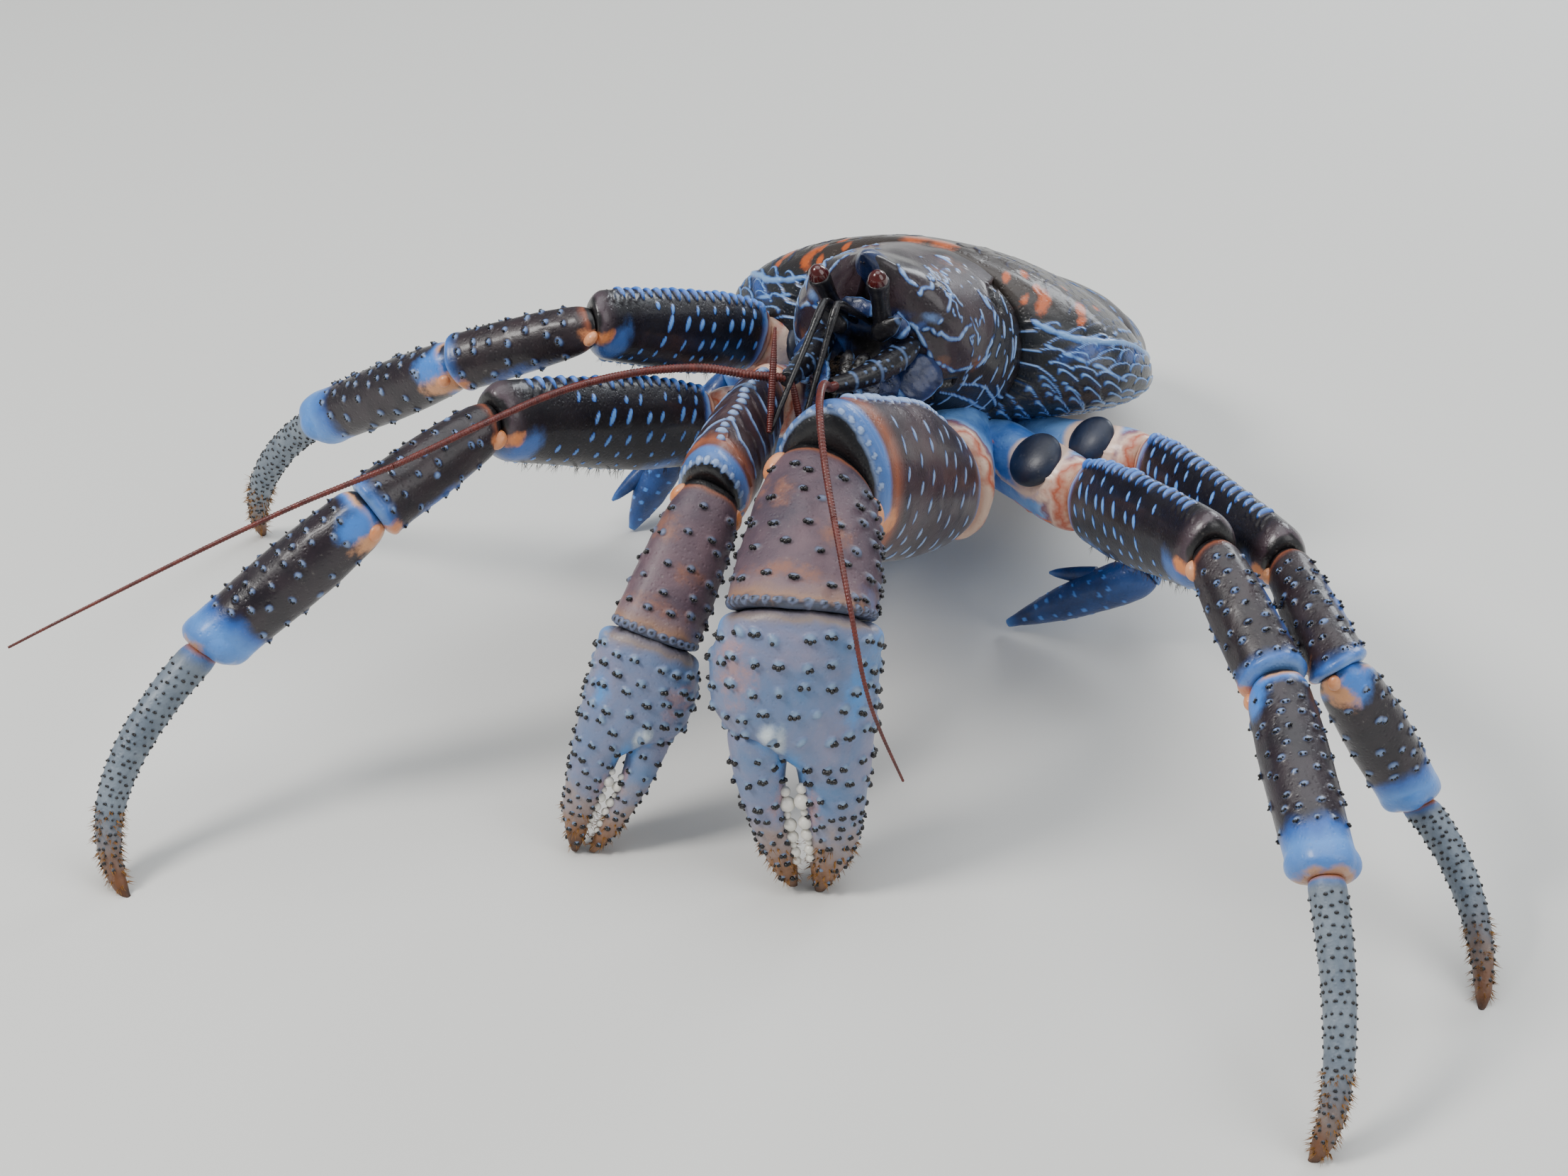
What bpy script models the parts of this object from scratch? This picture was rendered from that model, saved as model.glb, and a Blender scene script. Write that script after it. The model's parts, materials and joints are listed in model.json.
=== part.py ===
# Coconut crab, life size, as a still museum model.
# Metres, +Z up, the head towards -Y, the feet on the floor at Z = 0.
# Left and right are the animal's own: its left is +X.
import itertools
import math
import random

import bmesh
import bpy
import numpy as np
from mathutils import Matrix, Vector

MM = 0.001
GAP = 0.3 * MM
MERGE_DISTANCES = (0.05 * MM, 0.01 * MM, 0.15 * MM, 0.25 * MM)

# Driving dimensions of the body
CARAPACE_LENGTH = 132 * MM
BODY_PITCH = math.radians(25)
ROSTRUM_TIP = np.array((0, -17.6, 134)) * MM

# Driving dimensions of the limbs: the depth of each segment at its fullest
CLAW_SIZES = {"left": {"merus": 47 * MM, "carpus": 41 * MM, "palm": 47 * MM},
              "right": {"merus": 29 * MM, "carpus": 25 * MM, "palm": 31 * MM}}
LEG_SIZES = {"front": {"merus": 28 * MM, "carpus": 19.5 * MM, "propodus": 20.5 * MM, "dactyl": 11.5 * MM},
             "rear": {"merus": 24.5 * MM, "carpus": 17.5 * MM, "propodus": 18.5 * MM, "dactyl": 10.5 * MM}}
FEELER_WIDTH = 2.9 * MM
ANTENNULE_WIDTH = 2.4 * MM
STEM_WIDTH = 8 * MM
STALK_WIDTH = 6.4 * MM
EYE_RADIUS = 3.4 * MM
MOUTH_LIMB_WIDTH = 9 * MM
SMALL_LEG_WIDTH = 12 * MM
THUMB_WIDTH = 5.5 * MM
THUMB_LENGTH = 14 * MM

# Where the joints of each limb stand, in millimetres, from the body outwards
LEG_JOINTS = {
    "leg_front_right": ((-22, 20, 58), (-53, -18, 64), (-81, -105, 104), (-100, -143, 92), (-138, -177, 55)),
    "leg_front_left": ((22, 20, 58), (67, -2, 57), (127, -75, 92), (155, -105, 76), (185, -157, 55)),
    "leg_rear_right": ((-24, 36, 50), (-50, 17, 78.5), (-71, -58, 115), (-111, -67, 99), (-167, -59, 63)),
    "leg_rear_left": ((22, 34, 52), (81, 17, 62), (144, -58, 84), (170, -94, 77), (193, -84, 33)),
}
DACTYL_BENDS = {
    "leg_front_right": ((-151, -203, 38), (-158, -217, 14), (-140, -224, -1)),
    "leg_front_left": ((195, -172, 38), (206, -196, 14), (198, -201, -1)),
    "leg_rear_right": ((-186, -52, 48), (-206, -46, 22), (-206, -36, -1)),
    "leg_rear_left": ((208, -92, 26), (222, -108, 12), (224, -124, -1)),
}
CLAW_JOINTS = {
    "left": ((17, 13, 63), (29, -20, 62), (18, -92, 99), (28, -133, 83), (36, -146, 0)),
    "right": ((-18, 12, 64), (-30, -23, 82), (-14, -100, 92), (-17, -133, 64), (-31, -155, 0)),
}
CLAW_FACE = np.array((0.38, -0.85, 0.36))
SMALL_LEG_JOINTS = {
    "left": ((18, 46, 48), (84, 36, 40), (84, 12, 27), (42, 4, 3)),
    "right": ((-18, 46, 48), (-72, 44, 46), (-86, 27, 25), (-94, 13, 1)),
}

# Girths along a segment, as shares of its depth: along, half thickness, above, below
MERUS = ((0, .24, .36, .34), (.10, .30, .44, .42), (.35, .33, .50, .46), (.75, .32, .46, .40),
         (.94, .33, .42, .37), (1, .30, .38, .34))
CARPUS = ((0, .32, .34, .32), (.12, .38, .42, .38), (.45, .44, .49, .44), (.85, .46, .50, .47),
          (.96, .47, .50, .47), (1, .44, .47, .44))
PROPODUS = ((0, .36, .38, .37), (.10, .42, .45, .43), (.45, .46, .50, .48), (.85, .44, .47, .46),
            (.95, .45, .48, .48), (1, .40, .42, .42))
DACTYL = ((0, .44, .48, .46), (.12, .42, .46, .44), (.45, .37, .42, .40), (.75, .30, .34, .32),
          (.92, .20, .22, .20), (1, .08, .09, .08))
LEG_BASE = ((0, .34, .40, .40), (.45, .36, .44, .42), (.85, .38, .48, .46), (1, .33, .42, .40))
CLAW_MERUS = ((0, .22, .30, .30), (.15, .28, .40, .38), (.5, .34, .50, .46), (.85, .35, .50, .44),
              (.96, .35, .48, .42), (1, .32, .44, .38))
CLAW_CARPUS = ((0, .34, .28, .28), (.12, .40, .32, .32), (.4, .46, .34, .34), (.85, .50, .33, .33),
               (.97, .50, .33, .33), (1, .47, .30, .30))
SMALL_ARM = ((0, .36, .42, .42), (.5, .42, .5, .5), (1, .38, .42, .42))
SMALL_WRIST = ((0, .36, .40, .40), (.5, .44, .48, .48), (1, .40, .44, .44))
SMALL_HAND = ((0, .36, .42, .42), (.15, .50, .58, .58), (.5, .42, .50, .50), (.8, .24, .30, .30),
              (1, .08, .10, .10))
STALK = ((0, .5, .5, .5), (.5, .42, .42, .42), (1, .53, .53, .53))
STEM = ((0, .5, .5, .5), (.4, .5, .5, .5), (.8, .36, .36, .36), (1, .30, .30, .30))
MOUTH_LIMB = ((0, .5, .5, .5), (.5, .46, .5, .5), (1, .2, .25, .25))

# The hand's outline, as shares of its depth: along, shift to the free finger, half width, half thickness
PALM = ((0, .00, .36, .24), (.05, .00, .44, .27), (.16, .04, .50, .30), (.30, .05, .49, .30),
        (.38, .02, .45, .28), (.46, -.09, .32, .25), (.54, -.17, .225, .22), (.68, -.165, .19, .19),
        (.82, -.155, .15, .15), (.94, -.10, .08, .09), (1.0, -.07, .03, .035))
FINGER = ((.34, .18, .15, .16), (.42, .27, .185, .20), (.54, .27, .158, .185), (.68, .24, .128, .155),
          (.82, .18, .105, .115), (.93, .125, .065, .07), (.98, .09, .028, .03))

# Raised forms: length round the limb, width along it, height
CREST_TOOTH = (2.4 * MM, 5.0 * MM, 1.8 * MM)
THIGH_SPOT = (4.8 * MM, 2.0 * MM, .8 * MM)
KNEE_KNOB = (2.4 * MM, 2.4 * MM, 1.3 * MM)
SHIN_KNOB = (2.3 * MM, 2.3 * MM, 1.3 * MM)
TOE_SPINE = (1.5 * MM, 1.5 * MM, 1.5 * MM)
ARM_TOOTH = (3.0 * MM, 5.4 * MM, 2.0 * MM)
ARM_SPOT = (5.5 * MM, 2.2 * MM, .9 * MM)
HAND_KNOB = (3.2 * MM, 3.2 * MM, 1.9 * MM)
BITE_TOOTH = (3.4 * MM, 3.4 * MM, 1.3 * MM)
RIDGE_SIZE = (9 * MM, 1.8 * MM, .9 * MM)
SCALE_SIZE = (3.6 * MM, 9.5 * MM, .8 * MM)
SHIELD_RIDGES = ((.24, 62), (.30, 40), (.33, 78), (.34, 8), (.30, -14))

# Sections of the body: share back, centre height, half width, above, below, all in carapace lengths
FRONT_SECTIONS = ((-.01, .000, .008, .012, .012), (.03, -.010, .035, .020, .025),
                  (.07, -.055, .10, .058, .070), (.12, -.10, .165, .105, .12), (.18, -.14, .205, .148, .16),
                  (.26, -.17, .235, .188, .19), (.34, -.185, .26, .212, .21), (.42, -.19, .285, .222, .22))
REAR_SECTIONS = ((.42, -.19, .33, .228, .21), (.47, -.195, .43, .240, .19), (.55, -.20, .505, .246, .17),
                 (.66, -.205, .525, .246, .16), (.78, -.205, .50, .232, .16), (.88, -.20, .44, .200, .15),
                 (.95, -.19, .36, .160, .13), (1.0, -.18, .27, .115, .10))
STERNUM_SECTIONS = ((.16, -.355, .05, .03, .04), (.24, -.40, .11, .06, .06), (.40, -.43, .155, .07, .07),
                    (.60, -.43, .165, .07, .07), (.80, -.41, .15, .06, .06), (.90, -.39, .11, .05, .05))

# The abdomen, in millimetres: its line, and half width, above and below at each plate's edge
ABDOMEN_LINE = ((0, 90, 60), (0, 112, 46), (0, 131, 33), (0, 147, 22), (0, 159, 13.5), (0, 167, 8),
                (0, 177, 4))
ABDOMEN_GIRTHS = ((42, 20, 20), (47, 21, 22), (44, 20, 22), (37, 17, 19), (29, 12, 14), (21, 8, 9),
                  (10, 3.5, 5))
PLATE_LIP = 1.8 * MM

# Eyes, feelers and mouth limbs, in millimetres: the places that each passes, from its root outwards
EYES = {"left": ((6.5, -18, 112), (7, -24.5, 130)), "right": ((-8, -18, 112), (-11, -26, 129))}
ANTENNULES = {
    "left": ((3, -14, 110), (-2, -34, 126), (-4, -56, 94), (-10, -50, 108)),
    "right": ((-4, -14, 110), (-6, -34, 126), (-10, -66, 97), (-15, -50, 123)),
}
ANTENNA_ROOTS = {"left": ((15, -8, 106), (13, -32, 104), (2, -48, 106)),
                 "right": ((-13, -8, 104), (-14, -30, 100), (-13, -46, 104))}
FEELERS = {
    "left": ((3, -51, 107), (10, -74, 121), (18, -96, 126), (25, -109, 117), (35, -125, 107),
             (46, -141, 93), (54, -146, 68), (64, -140, 36)),
    "right": ((-15, -48, 104.5), (-36, -56, 108), (-54, -70, 109), (-66, -91, 111), (-76, -117, 112),
              (-90, -142, 109), (-110, -160, 102), (-134, -180, 91), (-170, -203, 71), (-188, -212, 60)),
}
MOUTH_LIMBS = {"left": ((5.4, 12, 80), (5.2, -12, 86), (4.6, -32, 74)),
               "right": ((-5.4, 12, 80), (-5.2, -12, 86), (-4.6, -32, 74))}

UP = np.array((0.0, 0, 1))
SIDES = {"left": 1, "right": -1}
LEG_NAMES = ("base", "merus", "carpus", "propodus", "dactyl")


def mm(place):
    return np.array(place, float) * MM


def unit(way):
    return way / np.linalg.norm(way)


def material(name, colour, roughness):
    made = bpy.data.materials.new(name)
    made.use_nodes = True
    shader = made.node_tree.nodes["Principled BSDF"]
    shader.inputs["Base Color"].default_value = (*colour, 1)
    shader.inputs["Roughness"].default_value = roughness
    shader.inputs["Metallic"].default_value = 0
    return made


def smooth_table(table, t):
    """The sizes at t, read smoothly from a table whose first column is the place along the piece."""
    rows = np.array(table, float)
    x, y = rows[:, 0], rows[:, 1:]
    rise = np.diff(y, axis=0) / np.diff(x)[:, None]
    slope = np.zeros_like(y)
    slope[0], slope[-1] = rise[0], rise[-1]
    for row in range(1, len(x) - 1):
        a, b = rise[row - 1], rise[row]
        turns = a * b <= 0
        slope[row] = np.where(turns, 0, 2 * a * b / np.where(turns, 1, a + b))
    i = int(np.clip(np.searchsorted(x, t) - 1, 0, len(x) - 2))
    h = x[i + 1] - x[i]
    u = (t - x[i]) / h
    return ((2 * u**3 - 3 * u**2 + 1) * y[i] + (u**3 - 2 * u**2 + u) * h * slope[i]
            + (3 * u**2 - 2 * u**3) * y[i + 1] + (u**3 - u**2) * h * slope[i + 1])


class Loft:
    """A rounded form along a line: its sizes come from a table, its ends lie in the planes of its joints.

    A table row is the place along, then half thickness, above and below as shares of the depth. With shift
    "side" or "up" a second column moves the section that way. The line is the Bezier curve of its points.
    """

    def __init__(self, points, dorsal, table, depth, planes=(None, None), power=2.2, ridge=0.0, shift=None):
        self.points = [np.array(p, float) for p in points]
        self.dorsal = dorsal
        self.table = table
        self.depth = depth
        self.planes = planes
        self.power = power
        self.ridge = ridge
        self.shift = shift
        self.start, self.end = table[0][0], table[-1][0]

    def line(self, t):
        level = self.points
        while len(level) > 2:
            level = [a + (b - a) * t for a, b in zip(level, level[1:])]
        return level[0] + (level[1] - level[0]) * t, unit(level[1] - level[0])

    def at(self, t, angle, grow=0.0):
        """The point of the surface at t along and at an angle from the side over the back."""
        centre, axis = self.line(t)
        side = unit(np.cross(axis, self.dorsal))
        up = np.cross(side, axis)
        sizes = smooth_table(self.table, t) * self.depth
        if self.shift:
            centre = centre + (side if self.shift == "side" else up) * sizes[0]
            sizes = sizes[1:]
        half, above, below = (sizes[0], sizes[1], sizes[-1])
        c, s = math.cos(angle), math.sin(angle)
        x = (half + grow) * math.copysign(abs(c) ** (2 / self.power), c)
        y = ((above if s > 0 else below) + grow) * math.copysign(abs(s) ** (2 / self.power), s)
        if s > 0:
            y *= 1 + self.ridge * s**8
        offset = side * x + up * y
        plane = axis.copy()
        if self.planes[0] is not None:
            plane = plane + (self.planes[0] - self.line(0)[1]) * max(0, 1 - 2 * t)
        if self.planes[1] is not None:
            plane = plane + (self.planes[1] - self.line(1)[1]) * max(0, 2 * t - 1)
        return centre + offset - axis * (offset @ plane / (axis @ plane))

    def spot(self, t, degrees):
        """A place on the surface with its outward normal and the direction round the limb."""
        angle = math.radians(degrees)
        here = self.at(t, angle)
        around = unit(self.at(t, angle + .04) - self.at(t, angle - .04))
        along = self.at(min(t + .02, self.end), angle) - self.at(max(t - .02, self.start), angle)
        normal = unit(np.cross(around, along))
        if normal @ (here - self.line(t)[0]) < 0:
            normal = -normal
        return here, normal, around

    def solid(self, name, finish, steps, count, grow=0.0, ends=(0.0, 0.0)):
        """The closed solid, its ends drawn in by two lengths along its line, given as shares of it."""
        first, last = self.start + ends[0], self.end - ends[1]
        mesh = bmesh.new()
        rows = []
        for i in range(steps + 1):
            t = first + (last - first) * i / steps
            rows.append([mesh.verts.new(self.at(t, 2 * math.pi * k / count, grow)) for k in range(count)])
        for low, high in zip(rows, rows[1:]):
            for k in range(count):
                n = (k + 1) % count
                mesh.faces.new((low[k], low[n], high[n], high[k]))
        mesh.faces.new(rows[0])
        mesh.faces.new(rows[-1])
        return finished(name, mesh, finish)


def finished(name, mesh, finish):
    bmesh.ops.recalc_face_normals(mesh, faces=mesh.faces)
    data = bpy.data.meshes.new(name)
    mesh.to_mesh(data)
    mesh.free()
    data.materials.append(finish)
    data.shade_smooth()
    data.set_sharp_from_angle(angle=math.radians(50))
    made = bpy.data.objects.new(name, data)
    crab.objects.link(made)
    made.parent = root
    return made


def between_joints(start, end, at_start=True, at_end=True):
    """A segment's two ends, each drawn in by half the gap of its joint."""
    way = unit(end - start) * GAP / 2
    return (start + way if at_start else start), (end - way if at_end else end)


def mitres(joints):
    """The plane normal at each inner joint of a line of joints."""
    ways = [unit(b - a) for a, b in zip(joints, joints[1:])]
    return [None] + [unit(a + b) for a, b in zip(ways, ways[1:])] + [None]


def is_closed(data):
    mesh = bmesh.new()
    mesh.from_mesh(data)
    closed = all(len(edge.link_faces) == 2 for edge in mesh.edges)
    mesh.free()
    return closed


def boolean(item, operation, **operand):
    """Applies one Boolean by keeping the evaluated mesh; the second solver is for where the first fails."""
    bpy.context.view_layer.update()
    for solver in ("EXACT", "MANIFOLD"):
        step = item.modifiers.new("boolean", "BOOLEAN")
        step.operation = operation
        step.solver = solver
        for field, value in operand.items():
            setattr(step, field, value)
        shown = item.evaluated_get(bpy.context.evaluated_depsgraph_get())
        made = bpy.data.meshes.new_from_object(shown)
        item.modifiers.remove(step)
        if is_closed(made):
            break
    item.data = made


def keep_largest(item):
    """Merges slivers and drops loose scraps and sealed hollows, so that the node is one closed surface."""
    for merge, way in itertools.product(MERGE_DISTANCES, ("BEAUTY", "EAR_CLIP")):
        mesh = bmesh.new()
        mesh.from_mesh(item.data)
        bmesh.ops.remove_doubles(mesh, verts=mesh.verts, dist=merge)
        bmesh.ops.dissolve_degenerate(mesh, edges=mesh.edges, dist=merge)
        bmesh.ops.triangulate(mesh, faces=mesh.faces, quad_method="BEAUTY", ngon_method=way)
        islands = sorted(islands_of(mesh), key=len, reverse=True)
        scraps = [face for island in islands[1:] for face in island]
        bmesh.ops.delete(mesh, geom=scraps, context="FACES")
        closed = all(len(edge.link_faces) == 2 for edge in mesh.edges)
        if closed:
            mesh.to_mesh(item.data)
        mesh.free()
        if closed:
            return
    raise ValueError(f"{item.name} is left open")


def islands_of(mesh):
    """The faces of a mesh in groups that hang together by their edges."""
    islands, seen = [], set()
    for first in mesh.faces:
        if first in seen:
            continue
        island, queue = [], [first]
        seen.add(first)
        while queue:
            face = queue.pop()
            island.append(face)
            for edge in face.edges:
                for other in edge.link_faces:
                    if other not in seen:
                        seen.add(other)
                        queue.append(other)
        islands.append(island)
    return islands


def cut_clear(item, rooms):
    """Cuts an item back from grown copies of what it grows out of."""
    for room in rooms:
        boolean(item, "DIFFERENCE", object=room)
    keep_largest(item)


def fuse(item, pieces):
    """Unites small closed pieces with the item they stand on, in one Boolean."""
    group = bpy.data.collections.new("pieces")
    for piece in pieces:
        for owner in piece.users_collection:
            owner.objects.unlink(piece)
        group.objects.link(piece)
    boolean(item, "UNION", operand_type="COLLECTION", collection=group)
    for piece in pieces:
        bpy.data.objects.remove(piece)
    bpy.data.collections.remove(group)
    keep_largest(item)


def level_off(item):
    """Cuts a flat under an item where it rests on the floor."""
    mesh = bmesh.new()
    mesh.from_mesh(item.data)
    every = list(mesh.verts) + list(mesh.edges) + list(mesh.faces)
    cut = bmesh.ops.bisect_plane(mesh, geom=every, plane_co=(0, 0, 0), plane_no=(0, 0, 1), clear_inner=True)
    edges = [e for e in cut["geom_cut"] if isinstance(e, bmesh.types.BMEdge)]
    bmesh.ops.holes_fill(mesh, edges=edges)
    mesh.to_mesh(item.data)
    mesh.free()


def as_cutter(item):
    crab.objects.unlink(item)
    cutters.objects.link(item)
    item.hide_render = True
    item.display_type = "WIRE"
    return item


def bump(spot, long, wide, tall, sides=5, flat=0.0):
    """A spine, knob or ridge on a surface: a cone or, with a flat, its stump, with its root sunk in."""
    here, normal, around = spot
    along = unit(np.cross(normal, around))
    across = np.cross(along, normal)
    sunk = 0.8 * MM + 0.15 * wide
    mesh = bmesh.new()
    bmesh.ops.create_cone(mesh, cap_ends=True, segments=sides, radius1=.5, radius2=.5 * flat, depth=1)
    frame = np.column_stack((across * long, along * wide, normal * (tall + sunk)))
    turn = Matrix(frame.tolist()).to_4x4()
    turn.translation = Vector(here + normal * (tall - sunk) / 2)
    bmesh.ops.transform(mesh, matrix=turn, verts=mesh.verts)
    return finished("bump", mesh, leg_dark)


def bumps_in_rows(loft, span, count, degrees, size, vary=.25, **form):
    """Bumps in rows along a loft, one row for each angle, each a little unlike the next."""
    made = []
    for row, angle in enumerate(degrees):
        for i in range(count):
            share = (i + (.5 if row % 2 else .15)) / count
            t = span[0] + (span[1] - span[0]) * share + dice.uniform(-.012, .012)
            long, wide, tall = (s * (1 + dice.uniform(-vary, vary)) for s in size)
            made.append(bump(loft.spot(t, angle + dice.uniform(-5, 5)), long, wide, tall, **form))
    return made


def body_loft(table, power, front=0.0, back=0.0):
    """A length of the body across the pitched back, its ends drawn in by two lengths."""
    c, s = math.cos(BODY_PITCH), math.sin(BODY_PITCH)
    tail = ROSTRUM_TIP + np.array((0, c, -s)) * CARAPACE_LENGTH
    shape = Loft((ROSTRUM_TIP, tail), np.array((0, s, c)), table, CARAPACE_LENGTH, power=power, shift="up")
    shape.start += front / CARAPACE_LENGTH
    shape.end -= back / CARAPACE_LENGTH
    return shape


def make_body():
    """The two parts of the carapace, meeting at the neck groove, and the breast that carries the limbs."""
    front = body_loft(FRONT_SECTIONS, 2.1, 0, GAP / 2)
    rear = body_loft(REAR_SECTIONS, 1.78, GAP / 2, 0)
    chest = body_loft(STERNUM_SECTIONS, 2.2)
    shield = front.solid("carapace_front", shell, 9, 20)
    lobes = rear.solid("carapace_rear", shell, 8, 24)
    ridges = [(t, 90 - sign * (90 - angle)) for sign in (1, -1) for t, angle in SHIELD_RIDGES]
    fuse(shield, [bump(front.spot(t, angle), *RIDGE_SIZE, 6, .5) for t, angle in ridges])
    scales = []
    for sign in (1, -1):
        for row, angle in enumerate((-12, 8, 28)):
            for i in range(4):
                place = rear.spot(.53 + .11 * i + .05 * (row % 2), 90 - sign * (90 - angle))
                scales.append(bump(place, *SCALE_SIZE, 6, .6))
    fuse(lobes, scales)
    rooms = []
    for shape, name, count, steps in ((front, "front_room", 20, 9), (rear, "rear_room", 24, 8)):
        rooms.append(as_cutter(shape.solid(name, shell, steps, count, GAP, (-.003, -.003))))
    breast = chest.solid("sternum", pale, 7, 14)
    cut_clear(breast, rooms)
    rooms.append(as_cutter(chest.solid("breast_room", shell, 7, 14, GAP, (-.003, -.003))))
    return rooms


def make_abdomen(rooms):
    """Five lengths of the abdomen, each with the raised hind lip of its back plate, and the tail plate."""
    joints = [mm(p) for p in ABDOMEN_LINE]
    planes = mitres(joints)
    last = len(joints) - 2
    for i in range(len(joints) - 1):
        name = "telson" if i == last else f"abdomen_{i + 1}"
        low, high = (mm(ABDOMEN_GIRTHS[k]) for k in (i, i + 1))
        lip = np.array((.6, 1, .4)) * (0 if i == last else PLATE_LIP)
        middle = (low + high + lip) / 2
        table = ((0, *low), (.5, *middle), (.88, *(low * .12 + high * .88 + lip)), (1, *high))
        ends = between_joints(joints[i], joints[i + 1], i > 0, i < last)
        shape = Loft(ends, UP, table, 1.0, (planes[i], planes[i + 1]), 2.3)
        made = shape.solid(name, shell, 4, 18)
        if i == 0:
            cut_clear(made, rooms)
        level_off(made)


def limb_lofts(joints, tables, depths, dorsals, bends=None, ridges=(0,) * 5):
    """The lofts of one limb's segments, meeting face to face in the mitre plane of each joint."""
    planes = mitres(joints)
    shapes = []
    for i, table in enumerate(tables):
        last = i == len(tables) - 1
        start, end = between_joints(joints[i], joints[i + 1], i > 0, not last)
        points = (start, end) if not (last and bends) else (start, *bends)
        ends = (planes[i], None if last else planes[i + 1])
        shapes.append(Loft(points, dorsals[i], table, depths[i], ends, ridge=ridges[i]))
    return shapes


def base_room(shape):
    """The room that a limb's first segment needs: its loft, grown by the gap of a joint."""
    return as_cutter(shape.solid("base_room", shell, 4, 12, GAP, (-.02, 0)))


def make_legs(rooms):
    """The four walking legs: crested and spotted thighs, knobbly shins and spiny, curved last segments."""
    for prefix, places in LEG_JOINTS.items():
        sizes = LEG_SIZES["front" if "front" in prefix else "rear"]
        bends = [mm(p) for p in DACTYL_BENDS[prefix]]
        joints = [mm(p) for p in places] + [bends[-1]]
        depths = (sizes["merus"] * .92, sizes["merus"], sizes["carpus"], sizes["propodus"], sizes["dactyl"])
        shapes = limb_lofts(joints, (LEG_BASE, MERUS, CARPUS, PROPODUS, DACTYL), depths, [UP] * 5, bends,
                            (0, .14, .06, 0, 0))
        finishes = (joint_blue, leg_dark, leg_dark, leg_dark, dactyl_grey)
        made = {}
        for name, shape, finish, steps in zip(LEG_NAMES, shapes, finishes, (4, 5, 3, 4, 7)):
            made[name] = shape.solid(f"{prefix}_{name}", finish, steps, 12)
        base, merus, carpus, propodus, dactyl = shapes
        crest = bumps_in_rows(merus, (.14, .94), 9, (90,), CREST_TOOTH, flat=.35)
        spots = bumps_in_rows(merus, (.14, .92), 3, (48, 12, 168, 132), THIGH_SPOT, flat=.4)
        fuse(made["merus"], crest + spots)
        fuse(made["carpus"], bumps_in_rows(carpus, (.12, .95), 3, (85, 40, 140), KNEE_KNOB))
        fuse(made["propodus"], bumps_in_rows(propodus, (.10, .90), 4, (90, 30, 150), SHIN_KNOB))
        fuse(made["dactyl"], bumps_in_rows(dactyl, (.10, .78), 4, (90, 10, 170), TOE_SPINE))
        cut_clear(made["base"], rooms)
        rooms.append(base_room(base))
        level_off(made["dactyl"])


def hand_loft(side, wrist, tip, table, first=None):
    """The palm with its fixed finger, or the free finger, along the line from wrist to tip."""
    mirrored = [(t, shift * SIDES[side], half, thick) for t, shift, half, thick in table]
    return Loft((wrist, tip), CLAW_FACE, mirrored, CLAW_SIZES[side]["palm"], (first, None), shift="side")


def make_claws(rooms):
    """The two claws, the left one the larger, each with a fixed and a free finger with blunt teeth."""
    for side, places in CLAW_JOINTS.items():
        sizes = CLAW_SIZES[side]
        size = sizes["palm"] / CLAW_SIZES["left"]["palm"]
        more = 1 if side == "left" else 0
        joints = [mm(p) for p in places]
        depths = (sizes["merus"] * .8, sizes["merus"], sizes["carpus"])
        planes = mitres(joints)
        shapes = limb_lofts(joints[:4], (LEG_BASE, CLAW_MERUS, CLAW_CARPUS), depths, (UP, UP, CLAW_FACE),
                            ridges=(0, .1, 0))
        base, merus, carpus = shapes
        wrist, tip = between_joints(joints[3], joints[4], True, False)
        carpus.planes = (planes[2], planes[3])
        carpus.points[1] = between_joints(joints[2], joints[3])[1]
        palm = hand_loft(side, wrist, tip, PALM, planes[3])
        finger = hand_loft(side, wrist, tip, FINGER)
        prefix = f"claw_{side}"
        made_base = base.solid(f"{prefix}_base", joint_blue, 4, 12)
        made_merus = merus.solid(f"{prefix}_merus", claw_brown, 6, 14)
        made_carpus = carpus.solid(f"{prefix}_carpus", claw_brown, 6, 14)
        made_palm = palm.solid(f"{prefix}_palm", claw_blue, 14, 14)
        made_finger = finger.solid(f"{prefix}_finger", claw_blue, 8, 10)
        cut_clear(made_finger, [as_cutter(palm.solid("palm_room", claw_blue, 14, 14, GAP))])
        knob = np.array(HAND_KNOB) * size
        fuse(made_merus, bumps_in_rows(merus, (.12, .97), 8 + 2 * more, (88,), ARM_TOOTH, flat=.35)
             + bumps_in_rows(merus, (.2, .9), 3 + more, (58, 28, 150), ARM_SPOT, flat=.4))
        fuse(made_carpus, bumps_in_rows(carpus, (.12, .9), 3 + more, (140, 95, 45), knob))
        fuse(made_palm, bumps_in_rows(palm, (.07, .33), 3 + more, (155, 118, 82, 45), knob)
             + bumps_in_rows(palm, (.54, .84), 3, (90,), knob * .8) + bite(palm, side, size))
        fuse(made_finger, bumps_in_rows(finger, (.54, .88), 3, (90,), knob * .8) + bite(finger, side, size))
        cut_clear(made_base, rooms)
        rooms.append(base_room(base))
        for piece in (made_palm, made_finger):
            level_off(piece)


def bite(shape, side, size):
    """The blunt white teeth along a finger's inner edge."""
    on_palm = shape.table[0][0] == 0
    towards = 0 if on_palm == (side == "left") else 180
    first = .57 if on_palm else .605
    teeth = []
    for i, bulk in enumerate((1.0, 1.15, .9, .75, .6)):
        place = shape.spot(first + .072 * i, towards)
        teeth.append(bump(place, *(np.array(BITE_TOOTH) * size * bulk), 6, .5))
    return teeth


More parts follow.
